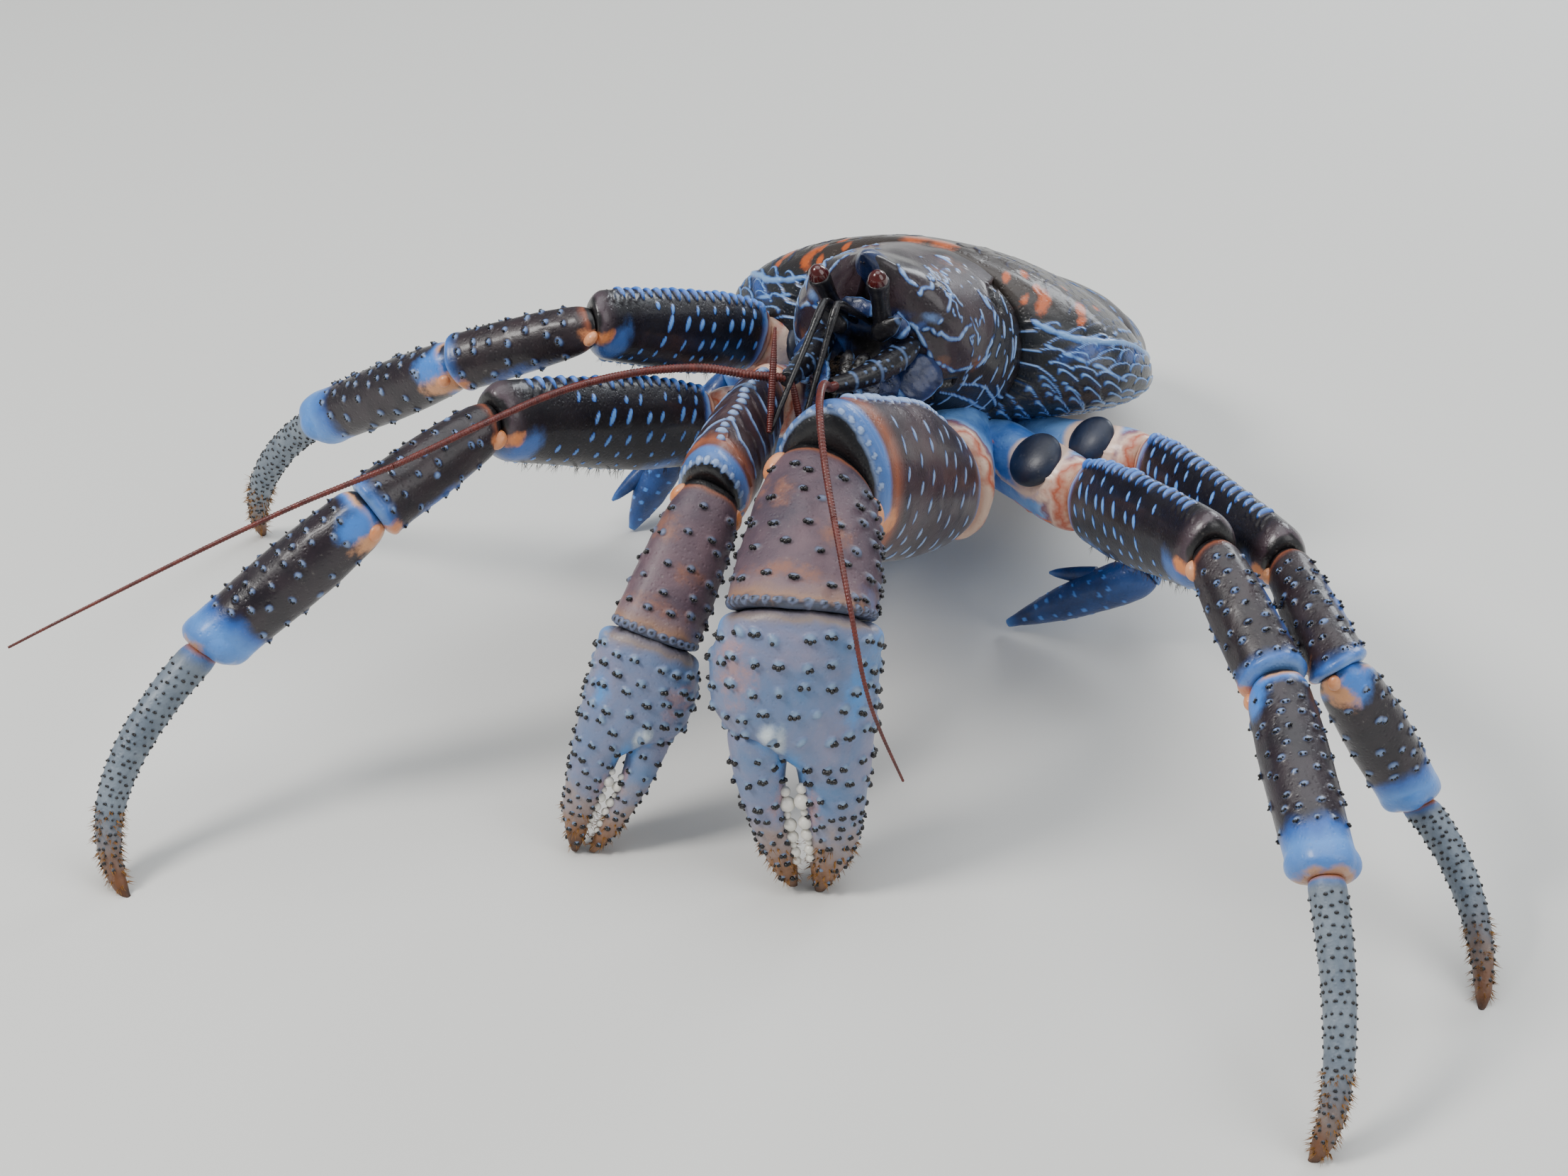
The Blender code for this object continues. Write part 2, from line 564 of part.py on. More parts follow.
def make_small_legs(rooms):
    """The fourth pair of legs, short and slim, each with a small hand of two fingers."""
    for side, places in SMALL_LEG_JOINTS.items():
        joints = [mm(p) for p in places]
        shapes = limb_lofts(joints, (SMALL_ARM, SMALL_WRIST, SMALL_HAND), (SMALL_LEG_WIDTH,) * 3, [UP] * 3)
        made = [shape.solid(f"small_leg_{side}_{name}", joint_blue, 4, 10)
                for name, shape in zip(("arm", "wrist", "hand"), shapes)]
        cut_clear(made[0], rooms)
        thumb_way = unit(shapes[2].points[1] - shapes[2].points[0])
        here, normal, around = shapes[2].spot(.35, 60)
        place = (here, unit(thumb_way + normal * .45), around)
        thumb = bump(place, THUMB_WIDTH, THUMB_WIDTH, THUMB_LENGTH, 6, .2)
        fuse(made[2], [thumb])
        level_off(made[2])


def rod(name, places, width, finish, taper):
    """A feeler: a curve through its places, as a closed tube that tapers to its end."""
    curve = bpy.data.curves.new(name, "CURVE")
    curve.dimensions = "3D"
    curve.bevel_depth = width / 2
    curve.bevel_resolution = 2
    curve.use_fill_caps = True
    line = curve.splines.new("POLY")
    line.points.add(len(places) - 1)
    for i, (point, place) in enumerate(zip(line.points, places)):
        point.co = (*place, 1)
        point.radius = 1 + (taper - 1) * i / (len(places) - 1)
    made = bpy.data.objects.new(name, curve)
    crab.objects.link(made)
    shown = made.evaluated_get(bpy.context.evaluated_depsgraph_get())
    mesh = bmesh.new()
    mesh.from_mesh(bpy.data.meshes.new_from_object(shown))
    bmesh.ops.remove_doubles(mesh, verts=mesh.verts, dist=0.01 * MM)
    bpy.data.objects.remove(made)
    return finished(name, mesh, finish)


def bent(places):
    """The places with each inner corner rounded a little."""
    line = [places[0]]
    for before, corner, after in zip(places, places[1:], places[2:]):
        line += [corner + unit(before - corner) * 2 * MM, corner + unit(after - corner) * 2 * MM]
    return [*line, places[-1]]


def spread(places, count):
    """Evenly spaced points on a smooth curve through the places."""
    ends = [places[0] * 2 - places[1], *places, places[-1] * 2 - places[-2]]
    fine = []
    for p0, p1, p2, p3 in zip(ends, ends[1:], ends[2:], ends[3:]):
        for k in range(12):
            t = k / 12
            fine.append(0.5 * ((2 * p1) + (p2 - p0) * t + (2 * p0 - 5 * p1 + 4 * p2 - p3) * t * t
                               + (3 * p1 - p0 - 3 * p2 + p3) * t**3))
    fine.append(places[-1])
    return [fine[round(i * (len(fine) - 1) / (count - 1))] for i in range(count)]


def eye_ball(name, centre, along, grow=0.0):
    mesh = bmesh.new()
    bmesh.ops.create_uvsphere(mesh, u_segments=10, v_segments=7, radius=EYE_RADIUS + grow)
    turn = Vector(along).to_track_quat("Z", "Y").to_matrix().to_4x4()
    stretch = Matrix.Diagonal((1, 1, 1.35, 1))
    bmesh.ops.transform(mesh, matrix=Matrix.Translation(centre) @ turn @ stretch, verts=mesh.verts)
    return finished(name, mesh, eye_red)


def make_eyes(rooms):
    """The eyes on their upright stalks, and what the feelers beside them have to clear."""
    stalk_rooms = {}
    for side, places in EYES.items():
        foot, eye = (mm(p) for p in places)
        along = unit(eye - foot)
        eye_ball(f"eye_{side}", eye, along)
        shape = Loft((foot, eye + along * MM), np.array((0.0, -1, 0)), STALK, STALK_WIDTH)
        stalk = shape.solid(f"eyestalk_{side}", stalk_dark, 4, 10)
        cut_clear(stalk, [*rooms, as_cutter(eye_ball("eye_room", eye, along, GAP))])
        stalk_rooms[side] = as_cutter(shape.solid("stalk_room", stalk_dark, 4, 10, GAP, (-.05, 0)))
    return stalk_rooms


def make_feelers(rooms, stalk_rooms):
    """The inner feelers, bent like an elbow, and the long outer ones in two lengths on stout roots."""
    for side in SIDES:
        foot, knee, elbow, tip = (mm(p) for p in ANTENNULES[side])
        antennule = rod(f"antennule_{side}", bent((foot, knee, elbow)), ANTENNULE_WIDTH, stalk_dark, .8)
        lash = rod("lash", (elbow * .99 + tip * .01, tip), ANTENNULE_WIDTH * .9, stalk_dark, .8)
        fuse(antennule, [lash])
        cut_clear(antennule, [*rooms, stalk_rooms[side]])
        roots = [mm(p) for p in ANTENNA_ROOTS[side]]
        shape = Loft(roots, UP, STEM, STEM_WIDTH)
        stem = shape.solid(f"antenna_base_{side}", stalk_dark, 5, 10)
        cut_clear(stem, rooms)
        longer = Loft((*roots[:2], roots[2] + unit(roots[2] - roots[1]) * GAP), UP, STEM, STEM_WIDTH)
        room = as_cutter(longer.solid("stem_room", stalk_dark, 5, 10, GAP))
        line = spread([roots[2] * .9 + roots[1] * .1, *(mm(p) for p in FEELERS[side])], 23)
        middle = len(line) // 2
        inner = rod(f"antenna_{side}_inner", line[:middle + 1], FEELER_WIDTH, feeler_red, .66)
        cut_clear(inner, [*rooms, room])
        start = line[middle] * .9 + line[middle + 1] * .1
        rod(f"antenna_{side}_outer", [start, *line[middle + 1:]], FEELER_WIDTH * .66, feeler_red, .45)


def make_mouth(rooms):
    """The outer pair of mouth limbs, which close the mouth from below."""
    for side, places in MOUTH_LIMBS.items():
        shape = Loft([mm(p) for p in places], UP, MOUTH_LIMB, MOUTH_LIMB_WIDTH)
        cut_clear(shape.solid(f"mouth_limb_{side}", joint_blue, 5, 10), rooms)


def centre_on_floor():
    """Moves the whole crab so that the middle of its box stands on the origin."""
    bpy.context.view_layer.update()
    solids = [item for item in crab.objects if item.type == "MESH"]
    corners = [item.matrix_world @ Vector(c) for item in solids for c in item.bound_box]
    low, high = (Vector([pick(c[k] for c in corners) for k in range(3)]) for pick in (min, max))
    root.location = -Vector(((low.x + high.x) / 2, (low.y + high.y) / 2, low.z))


for old in list(bpy.data.objects):
    bpy.data.objects.remove(old)
crab = bpy.data.collections.new("coconut_crab")
cutters = bpy.data.collections.new("cutters")
for collection in (crab, cutters):
    bpy.context.scene.collection.children.link(collection)
root = bpy.data.objects.new("crab_root", None)
crab.objects.link(root)
dice = random.Random(7)

shell = material("shell", (0.035, 0.028, 0.040), 0.35)
pale = material("breast", (0.10, 0.20, 0.42), 0.45)
joint_blue = material("joint_blue", (0.12, 0.24, 0.50), 0.35)
leg_dark = material("leg_dark", (0.020, 0.016, 0.028), 0.35)
dactyl_grey = material("dactyl_grey", (0.11, 0.12, 0.16), 0.5)
claw_brown = material("claw_brown", (0.16, 0.10, 0.10), 0.5)
claw_blue = material("claw_blue", (0.20, 0.24, 0.34), 0.45)
eye_red = material("eye_red", (0.20, 0.015, 0.01), 0.08)
stalk_dark = material("stalk_dark", (0.01, 0.008, 0.012), 0.35)
feeler_red = material("feeler_red", (0.22, 0.045, 0.03), 0.5)

solids_to_clear = make_body()
make_abdomen(solids_to_clear)
make_claws(solids_to_clear)
make_legs(solids_to_clear)
make_small_legs(solids_to_clear)
make_feelers(solids_to_clear, make_eyes(solids_to_clear))
make_mouth(solids_to_clear)
centre_on_floor()
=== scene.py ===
# %% [markdown]
# # A coconut crab, life size, as a museum model
# The crab stands on its pointed walking legs with both claws lowered in front. Its hard shell is built
# segment by segment. Each segment is one smooth form along a line, like the ones the frame holds, only
# finer, with the raised spots, knobs, scales and teeth of the real shell pushed out of its surface. This
# first cell loads the frame and can measure the box of any of its parts.

import json
import math

import bpy
import numpy as np
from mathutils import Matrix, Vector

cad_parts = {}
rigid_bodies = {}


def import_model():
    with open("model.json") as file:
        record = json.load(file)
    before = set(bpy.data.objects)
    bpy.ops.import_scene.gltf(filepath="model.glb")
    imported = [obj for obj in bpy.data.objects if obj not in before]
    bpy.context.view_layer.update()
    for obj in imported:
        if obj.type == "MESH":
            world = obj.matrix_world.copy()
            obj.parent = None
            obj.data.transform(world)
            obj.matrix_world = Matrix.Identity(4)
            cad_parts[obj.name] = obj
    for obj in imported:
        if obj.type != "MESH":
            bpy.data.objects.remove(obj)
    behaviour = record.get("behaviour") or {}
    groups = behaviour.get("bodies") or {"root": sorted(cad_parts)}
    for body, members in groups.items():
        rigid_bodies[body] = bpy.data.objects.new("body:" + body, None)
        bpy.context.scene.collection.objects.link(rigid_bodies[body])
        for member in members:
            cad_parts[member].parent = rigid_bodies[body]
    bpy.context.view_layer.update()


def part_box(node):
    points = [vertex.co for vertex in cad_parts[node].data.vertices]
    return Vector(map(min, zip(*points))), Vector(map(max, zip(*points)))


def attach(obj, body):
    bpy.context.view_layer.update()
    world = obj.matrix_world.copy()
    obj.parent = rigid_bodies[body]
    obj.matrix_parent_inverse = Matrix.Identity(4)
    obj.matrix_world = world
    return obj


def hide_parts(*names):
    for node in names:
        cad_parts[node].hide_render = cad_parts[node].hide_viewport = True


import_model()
MM = 0.001
SIDES = {"left": 1, "right": -1}

# %% [markdown]
# The sizes below are given in the crab's own measures, with its midline at X = 0 and the floor at Z = 0.
# The frame has the crab's box centred on the origin, so the shift between the two is read from a piece
# whose place is known: the left eye.

# %% Measure the shift from the crab's own axes to the frame
EYES = {"left": ((6.5, -18, 112), (7, -24.5, 130)), "right": ((-8, -18, 112), (-11, -26, 129))}
eye_low, eye_high = (np.array(corner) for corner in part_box("eye_left"))
SHIFT = (eye_low + eye_high) / 2 - np.array(EYES["left"][1]) * MM
print("shift in mm:", (SHIFT / MM).round(2))

# %% [markdown]
# ## Camera, floor and light
# The picture was taken from in front, a little to the crab's left, looking down by about a third of a
# right angle, with a longish lens. The daylight there is soft and comes from above, so a wide panel hangs
# overhead, a key panel stands at the upper left and a weaker one at the right, and a small one behind
# picks out the shell's edges.

# %% Camera
VIEW_AZIMUTH = math.radians(23)
VIEW_ELEVATION = math.radians(32)
VIEW_TARGET = np.array((-33.44, 0, 0)) * MM + SHIFT
VIEW_DISTANCE = 1.10
LENS_MM = 77.96


def new_object(name, data):
    made = bpy.data.objects.new(name, data)
    bpy.context.scene.collection.objects.link(made)
    return made


def aim(item, place, target):
    """Puts an item at a place and turns its -Z axis to the target."""
    way = np.array(target, float) - np.array(place, float)
    item.location = place
    item.rotation_euler = Vector(way).to_track_quat("-Z", "Y").to_euler()


camera = new_object("camera", bpy.data.cameras.new("camera"))
camera.data.lens = LENS_MM
camera.data.sensor_width = 36
back = np.array((math.sin(VIEW_AZIMUTH) * math.cos(VIEW_ELEVATION),
                 -math.cos(VIEW_AZIMUTH) * math.cos(VIEW_ELEVATION), math.sin(VIEW_ELEVATION)))
aim(camera, VIEW_TARGET + back * VIEW_DISTANCE, VIEW_TARGET)
camera.data.clip_start = 0.05
bpy.context.scene.camera = camera
print("camera at", [round(x, 3) for x in camera.location])

# %% Floor and lights
bpy.ops.mesh.primitive_plane_add(size=6)
floor = bpy.context.active_object
floor.name = "floor"


def panel(name, place, size, power, colour=(1, 1, 1)):
    light = new_object(name, bpy.data.lights.new(name, "AREA"))
    light.data.shape = "DISK"
    light.data.size = size
    light.data.energy = power
    light.data.color = colour
    aim(light, place, (0, 0, 0.05))


panel("sky_panel", (0.0, 0.15, 1.5), 1.6, 16, (0.95, 0.98, 1.0))
panel("key_panel", (-0.75, -0.75, 1.15), 0.45, 17, (1.0, 0.98, 0.95))
panel("side_panel", (1.0, -0.2, 0.7), 0.9, 5)
panel("rim_panel", (0.25, 1.1, 0.6), 0.5, 6, (0.9, 0.95, 1.0))
world = bpy.data.worlds.new("soft_room")
world.use_nodes = True
world.node_tree.nodes["Background"].inputs["Color"].default_value = (0.80, 0.86, 0.92, 1)
world.node_tree.nodes["Background"].inputs["Strength"].default_value = 0.32
bpy.context.scene.world = world

# %% [markdown]
# ## Segments as lofts
# A crab's leg is a row of hard tubes. Each tube is drawn here as a loft: rounded cross-sections along a
# line, whose width and height come from a short table. At a joint, the last section of one tube and the
# first of the next lie in the same plane, half way between the two directions, so the tubes meet face to
# face. The whole grid of points is worked out at once with arrays, because a segment has tens of
# thousands of them.

# %% The loft
def mm(place):
    return np.array(place, float) * MM


def unit(way):
    way = np.asarray(way, float)
    return way / np.linalg.norm(way, axis=-1, keepdims=True)


def smooth_table(table, t):
    """Sizes read smoothly from a table whose first column is the place along; one row for each t."""
    rows = np.array(table, float)
    x, y = rows[:, 0], rows[:, 1:]
    rise = np.diff(y, axis=0) / np.diff(x)[:, None]
    slope = np.zeros_like(y)
    slope[0], slope[-1] = rise[0], rise[-1]
    turns = rise[:-1] * rise[1:] <= 0
    slope[1:-1] = np.where(turns, 0, 2 * rise[:-1] * rise[1:] / np.where(turns, 1, rise[:-1] + rise[1:]))
    i = np.clip(np.searchsorted(x, t) - 1, 0, len(x) - 2)
    h = (x[i + 1] - x[i])[:, None]
    u = (t[:, None] - x[i][:, None]) / h
    return ((2 * u**3 - 3 * u**2 + 1) * y[i] + (u**3 - 2 * u**2 + u) * h * slope[i]
            + (3 * u**2 - 2 * u**3) * y[i + 1] + (u**3 - u**2) * h * slope[i + 1])


class Loft:
    """A rounded form along the Bezier line of its points, its sizes from a table in shares of its depth."""

    def __init__(self, points, dorsal, table, depth, planes=(None, None), power=2.2, ridge=0.0, shift=None):
        self.points = [np.array(p, float) for p in points]
        self.dorsal = np.array(dorsal, float)
        self.table = table
        self.depth = depth
        self.planes = planes
        self.power = power
        self.ridge = ridge
        self.shift = shift
        self.start, self.end = table[0][0], table[-1][0]
        places = self.line(np.linspace(self.start, self.end, 40))[0]
        self.length = np.linalg.norm(np.diff(places, axis=0), axis=1).sum()

    def line(self, t):
        t = np.asarray(t, float)[:, None]
        level = self.points
        while len(level) > 2:
            level = [a + (b - a) * t for a, b in zip(level, level[1:])]
        return level[0] + (level[1] - level[0]) * t, unit(np.broadcast_to(level[1] - level[0], (len(t), 3)))

    def grid(self, t, angle):
        """Centres of the sections at t, and the surface points at every angle, row by row."""
        centre, axis = self.line(t)
        side = unit(np.cross(axis, self.dorsal))
        up = np.cross(side, axis)
        sizes = smooth_table(self.table, t) * self.depth
        if self.shift:
            centre = centre + (side if self.shift == "side" else up) * sizes[:, :1]
            sizes = sizes[:, 1:]
        c, s = np.cos(angle)[None, :], np.sin(angle)[None, :]
        x = sizes[:, :1] * np.sign(c) * np.abs(c) ** (2 / self.power)
        y = np.where(s > 0, sizes[:, 1:2], sizes[:, -1:]) * np.sign(s) * np.abs(s) ** (2 / self.power)
        y = y * np.where(s > 0, 1 + self.ridge * s**8, 1)
        offset = x[..., None] * side[:, None, :] + y[..., None] * up[:, None, :]
        plane = axis.copy()
        for which, share in ((0, np.maximum(0, 1 - 2 * t)), (1, np.maximum(0, 2 * t - 1))):
            if self.planes[which] is not None:
                plane = plane + (self.planes[which] - self.line([which])[1]) * share[:, None]
        lean = (offset * plane[:, None, :]).sum(-1) / (axis * plane).sum(-1)[:, None]
        return centre, centre[:, None, :] + offset - axis[:, None, :] * lean[..., None]

    def spots(self, t, degrees):
        """Surface points with their outward normals, and the directions along and round the loft there."""
        t, angle = np.atleast_1d(t).astype(float), np.radians(np.atleast_1d(degrees).astype(float))
        step = (self.end - self.start) * .01

        def at(places, angles):
            return np.array([self.grid(places[i:i + 1], angles[i:i + 1])[1][0, 0] for i in range(len(t))])

        here = at(t, angle)
        around = unit(at(t, angle + .03) - at(t, angle - .03))
        on, off = (at(np.clip(t + way, self.start, self.end), angle) for way in (step, -step))
        along = unit(on - off)
        normal = unit(np.cross(around, along))
        centre = self.grid(t, np.array([0.0]))[0]
        normal *= np.where(((here - centre) * normal).sum(-1) < 0, -1, 1)[:, None]
        return here, normal, along, around


def mitres(joints):
    """The plane normal at each inner joint of a line of joints."""
    ways = [unit(b - a) for a, b in zip(joints, joints[1:])]
    return [None] + [unit(a + b) for a, b in zip(ways, ways[1:])] + [None]


def limb_lofts(joints, tables, depths, dorsals, bends=None, ridges=(0,) * 5):
    """The lofts of one limb's segments, each meeting the next in the plane of their joint."""
    planes = mitres(joints)
    shapes = []
    for i, table in enumerate(tables):
        last = i == len(tables) - 1
        points = (joints[i], *bends) if last and bends else (joints[i], joints[i + 1])
        shapes.append(
            Loft(points, dorsals[i], table, depths[i], (planes[i], None if last else planes[i + 1]),
                ridge=ridges[i]))
    return shapes


# %% [markdown]
# ## Skin with relief
# The skin of a segment is the loft's grid, rounded off where it goes into a joint. Relief is added by
# stamps: a stamp measures how far each point lies from a place on the surface, along and around, and
# lifts the points near it into a dome, a scale or a line. The same distance is kept on the mesh as a
# mask, so that the material later knows where the blue spots, the dark points and the crest are. Doing
# both from one measure keeps colour and form in step.

# %% The skin of a segment
class Skin:
    """A fine grid over a loft, with a height and named masks at each point."""

    def __init__(self, loft, rows, around, shoulders=(4.0, .9), drop=(.24, .07), lip=0.0):
        self.loft = loft
        share = np.linspace(0, 1, rows)
        self.t = loft.start + (loft.end - loft.start) * share
        self.angle = np.linspace(0, 2 * np.pi, around, endpoint=False)
        self.centre, self.points = loft.grid(self.t, self.angle)
        self.along_mm = share * loft.length / MM
        self.to_end_mm = (1 - share) * loft.length / MM
        scale = np.ones(rows)
        for distance, width, depth in ((self.along_mm, shoulders[0], drop[0]),
                                       (self.to_end_mm, shoulders[1], drop[1])):
            near = np.clip(1 - distance / max(width, 1e-6), 0, 1) if width else 0
            scale -= depth * (1 - np.sqrt(1 - near**2)) if width else 0
        self.points = self.centre[:, None, :] + (self.points - self.centre[:, None, :]) * scale[
            :, None, None]
        across = np.roll(self.points, -1, 1) - np.roll(self.points, 1, 1)
        along = np.gradient(self.points, axis=0)
        self.normals = unit(np.cross(across, along) + 1e-12)
        outward = ((self.points - self.centre[:, None, :]) * self.normals).sum(-1).mean()
        self.flip = outward < 0
        if self.flip:
            self.normals = -self.normals
        self.height = np.zeros(self.points.shape[:2])
        self.height += lip * np.exp(-((self.to_end_mm - 1.9) / 1.3) ** 2)[:, None]
        # the mask after pale marks a painted shadow, where the skin lies under an overhanging plate edge
        self.masks = {mask: self.height * 0 for mask in ("spot", "dark", "blue", "warm", "pale", "painted_shade")}
        self.masks["near"] = np.repeat(self.along_mm[:, None], around, 1)
        self.masks["far"] = np.repeat(self.to_end_mm[:, None], around, 1)
        self.masks["top"] = np.repeat(np.sin(self.angle)[None, :], rows, 0)

    def window(self, t, reach):
        """The rows within reach of a place along the loft."""
        span = reach / self.loft.length * (self.loft.end - self.loft.start)
        return slice(max(0, np.searchsorted(self.t, t - span)), np.searchsorted(self.t, t + span) + 1)

    def stamp(self, spots, t, long, wide, tall, mask="spot", power=.8, sharp=.3, dark=0.0, strength=1.0):
        """Domes at the spots, long round the limb, wide along it and tall, with masks of their outline."""
        for i in range(len(t)):
            here, normal, along, around = (part[i] for part in spots)
            a, b, h = long[i] / 2, wide[i] / 2, tall[i]
            rows = self.window(t[i], 2.2 * max(a, b))
            away = self.points[rows] - here
            r = np.hypot((away @ along) / b, (away @ around) / a)
            r = r + np.where(np.abs(away @ normal) > 1.5 * max(a, b), 9, 0)
            lift = h * np.clip(1 - r**2, 0, 1) ** power
            self.height[rows] = np.maximum(self.height[rows], lift) if h > 0 else np.minimum(
                self.height[rows], lift)
            if mask:
                value = np.clip((1.08 - r) / sharp, 0, 1) * strength
                self.masks[mask][rows] = np.maximum(self.masks[mask][rows], value)
            if dark:
                self.masks["dark"][rows] = np.maximum(self.masks["dark"][rows],
                                                      np.clip((dark - r) / .2, 0, 1))

    def bumps(self, t, degrees, size, seeds=(1, 2, 3), amounts=(.2, .2, .2), **looks):
        """Domes at places on the skin, with sizes about those given in mm."""
        sizes = (varied(v * MM, len(t), lot, amount) for v, lot, amount in zip(size, seeds, amounts))
        self.stamp(self.loft.spots(t, degrees), t, *sizes, **looks)

    def swelling(self, t, degrees, size, power):
        """One broad swelling without a colour of its own, its size in mm."""
        self.stamp(self.loft.spots([t], [degrees]), [t], *([v * MM] for v in size), None, power=power)

    def trace(self, places, width, tall, mask="spot", wiggle=.35, seed=1):
        """A raised line through places (t, degrees), a little crooked, with its width and height in mm."""
        width, tall = width * MM, tall * MM
        t, degrees = np.array(places, float).T
        steps = np.linspace(0, len(t) - 1, (len(t) - 1) * 6 + 1)
        places = [np.interp(steps, range(len(t)), values) for values in (t, degrees)]
        line = self.loft.spots(*places)[0]
        coarse = np.linspace(0, len(line) - 1, max(3, int(len(line) / 2.6)))
        push = np.random.RandomState(seed).normal(size=(len(coarse), 3)) * wiggle * width
        line = line + np.stack([np.interp(range(len(line)), coarse, push[:, k]) for k in range(3)], -1)
        thick = width * (.50 + .45 * np.sin(np.pi * np.linspace(.04, .96, len(line))) ** .5
                         + .14 * np.sin(np.arange(len(line)) * 1.3 + seed))
        flat = self.points.reshape(-1, 3)
        low, high = line.min(0) - 2 * width, line.max(0) + 2 * width
        near = np.where(((flat > low) & (flat < high)).all(1))[0]
        r = np.full(len(near), 9.0)
        for a, b, breadth in zip(line, line[1:], thick):
            way = b - a
            share = np.clip((flat[near] - a) @ way / (way @ way + 1e-12), 0, 1)
            r = np.minimum(r, np.linalg.norm(flat[near] - a - share[:, None] * way, axis=1) / (breadth / 2))
        lift = tall * np.exp(-(r**2))
        height = self.height.reshape(-1)
        height[near] = np.maximum(height[near], lift) if tall > 0 else np.minimum(height[near], lift)
        if mask:
            values = self.masks[mask].reshape(-1)
            values[near] = np.maximum(values[near], np.clip(1.35 - r, 0, 1))

    def patch(self, mask, t, degrees, long, wide, soft=.9):
        """A broad patch of colour without relief: long along the limb, wide round it, in mm."""
        long, wide = long * MM, wide * MM
        here, normal, along, around = (part[0] for part in self.loft.spots([t], [degrees]))
        away = self.points - here
        r = np.hypot((away @ along) / (long / 2), (away @ around) / (wide / 2))
        r = r + np.where(np.abs(away @ normal) > max(long, wide) * .8, 9, 0)
        self.masks[mask] = np.maximum(self.masks[mask], np.clip((1.2 - r) / soft, 0, 1))

    def wobble(self, size, amount, seed):
        """Gentle unevenness in mm over the whole skin, from a few waves in random directions."""
        size, amount = size * MM, amount * MM
        dice = np.random.RandomState(seed)
        total = 0
        for _ in range(7):
            wave = unit(dice.normal(size=3)) * 2 * np.pi / (size * dice.uniform(.7, 1.4))
            total = total + np.sin(self.points @ wave + dice.uniform(0, 6.28))
        self.height += total / 7 * amount

    def mesh_object(self, name, finish):
        """The closed mesh: the grid with its relief, and a stepped cap over each end."""
        points = self.points + self.normals * self.height[..., None]
        steps = (.35, .75, .93)
        first = [self.centre[0] + (points[0] - self.centre[0]) * s for s in steps]
        last = [self.centre[-1] + (points[-1] - self.centre[-1]) * s for s in reversed(steps)]
        made = tube_mesh(name, np.concatenate((first, points, last)), self.centre[[0, -1]], finish,
                         self.flip)
        for mask, values in self.masks.items():
            full = np.concatenate([values[:1]] * 3 + [values] + [values[-1:]] * 3).reshape(-1)
            full = np.concatenate((full, values[0, :1], values[-1, :1])).astype(np.float32)
            made.data.attributes.new(mask, "FLOAT", "POINT").data.foreach_set("value", full)
        return made


def mesh_from_arrays(name, points, quads, triangles, finish):
    """A smooth mesh object from arrays of points and faces; what would pass the floor lies flat on it."""
    data = bpy.data.meshes.new(name)
    quads, triangles = np.asarray(quads).reshape(-1, 4), np.asarray(triangles).reshape(-1, 3)
    corners = np.concatenate((quads.ravel(), triangles.ravel())).astype(np.int32)
    sizes = np.concatenate((np.full(len(quads), 4), np.full(len(triangles), 3)))
    starts = np.concatenate(([0], np.cumsum(sizes)[:-1])).astype(np.int32)
    data.vertices.add(len(points))
    points = np.array(points, np.float32)
    points[:, 2] = np.maximum(points[:, 2], 0)
    data.vertices.foreach_set("co", points.ravel())
    data.loops.add(len(corners))
    data.loops.foreach_set("vertex_index", corners)
    data.polygons.add(len(sizes))
    data.polygons.foreach_set("loop_start", starts)
    data.update(calc_edges=True)
    data.validate()
    data.shade_smooth()
    data.materials.append(finish)
    return new_object(name, data)


def tube_faces(rows, around, flip):
    """The faces of a closed tube: quads between its rows, and a fan to each of its two end points."""
    ring = np.arange(around)
    other = (ring + 1) % around
    low = np.arange(rows - 1)[:, None] * around
    quads = np.stack((low + ring, low + other, low + other + around, low + ring + around), -1).reshape(
        -1, 4)
    top = (rows - 1) * around
    end = np.full(around, rows * around)
    fans = np.concatenate(
        (np.stack((end, other, ring), -1), np.stack((end + 1, top + ring, top + other), -1)))
    return (quads[:, ::-1], fans[:, ::-1]) if flip else (quads, fans)


def tube_mesh(name, rows, ends, finish, flip=False):
    """A closed tube from rows of points round it and the two points that close its ends."""
    points = np.concatenate((rows.reshape(-1, 3), ends)) + SHIFT
    return mesh_from_arrays(name, points, *tube_faces(*rows.shape[:2], flip), finish)


def keep(piece, slot, *nodes):
    """Fixes a piece to the crab's one body and lets it stand for its frame nodes; slot is not used."""
    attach(piece, "root")
    if nodes:
        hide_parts(*nodes)
    return piece


# %% [markdown]
# Knobs and spots grow in loose rows. A jittered grid over a stretch of the loft gives places that are
# evenly spread but not ruled, and every draw comes from a seeded source, so that each run gives the same
# crab.

# %% Places for knobs, and small sharp pieces joined into one mesh
def scattered(loft, span, degrees, spacing, seed, jitter=.22):
    """Places (t, degrees) over a stretch of a loft, about one spacing (mm) apart, in staggered rows."""
    dice = np.random.RandomState(seed)
    spacing = spacing * MM
    rows = max(1, int((span[1] - span[0]) * loft.length / (loft.end - loft.start) / spacing))
    t, angles = [], []
    for row in range(rows):
        share = span[0] + (span[1] - span[0]) * (row + .5) / rows
        ring = loft.grid(np.array([share]), np.radians(np.linspace(*degrees, 24)))[1][0]
        count = max(1, int(np.linalg.norm(np.diff(ring, axis=0), axis=1).sum() / spacing))
        for k in range(count):
            t.append(share + dice.uniform(-jitter, jitter) * (span[1] - span[0]) / rows)
            angles.append(
                degrees[0] + (degrees[1] - degrees[0]) * (k + .25 + .5 * (row % 2) + dice.uniform(-jitter,
                        jitter)) / count)
    return np.array(t), np.array(angles)


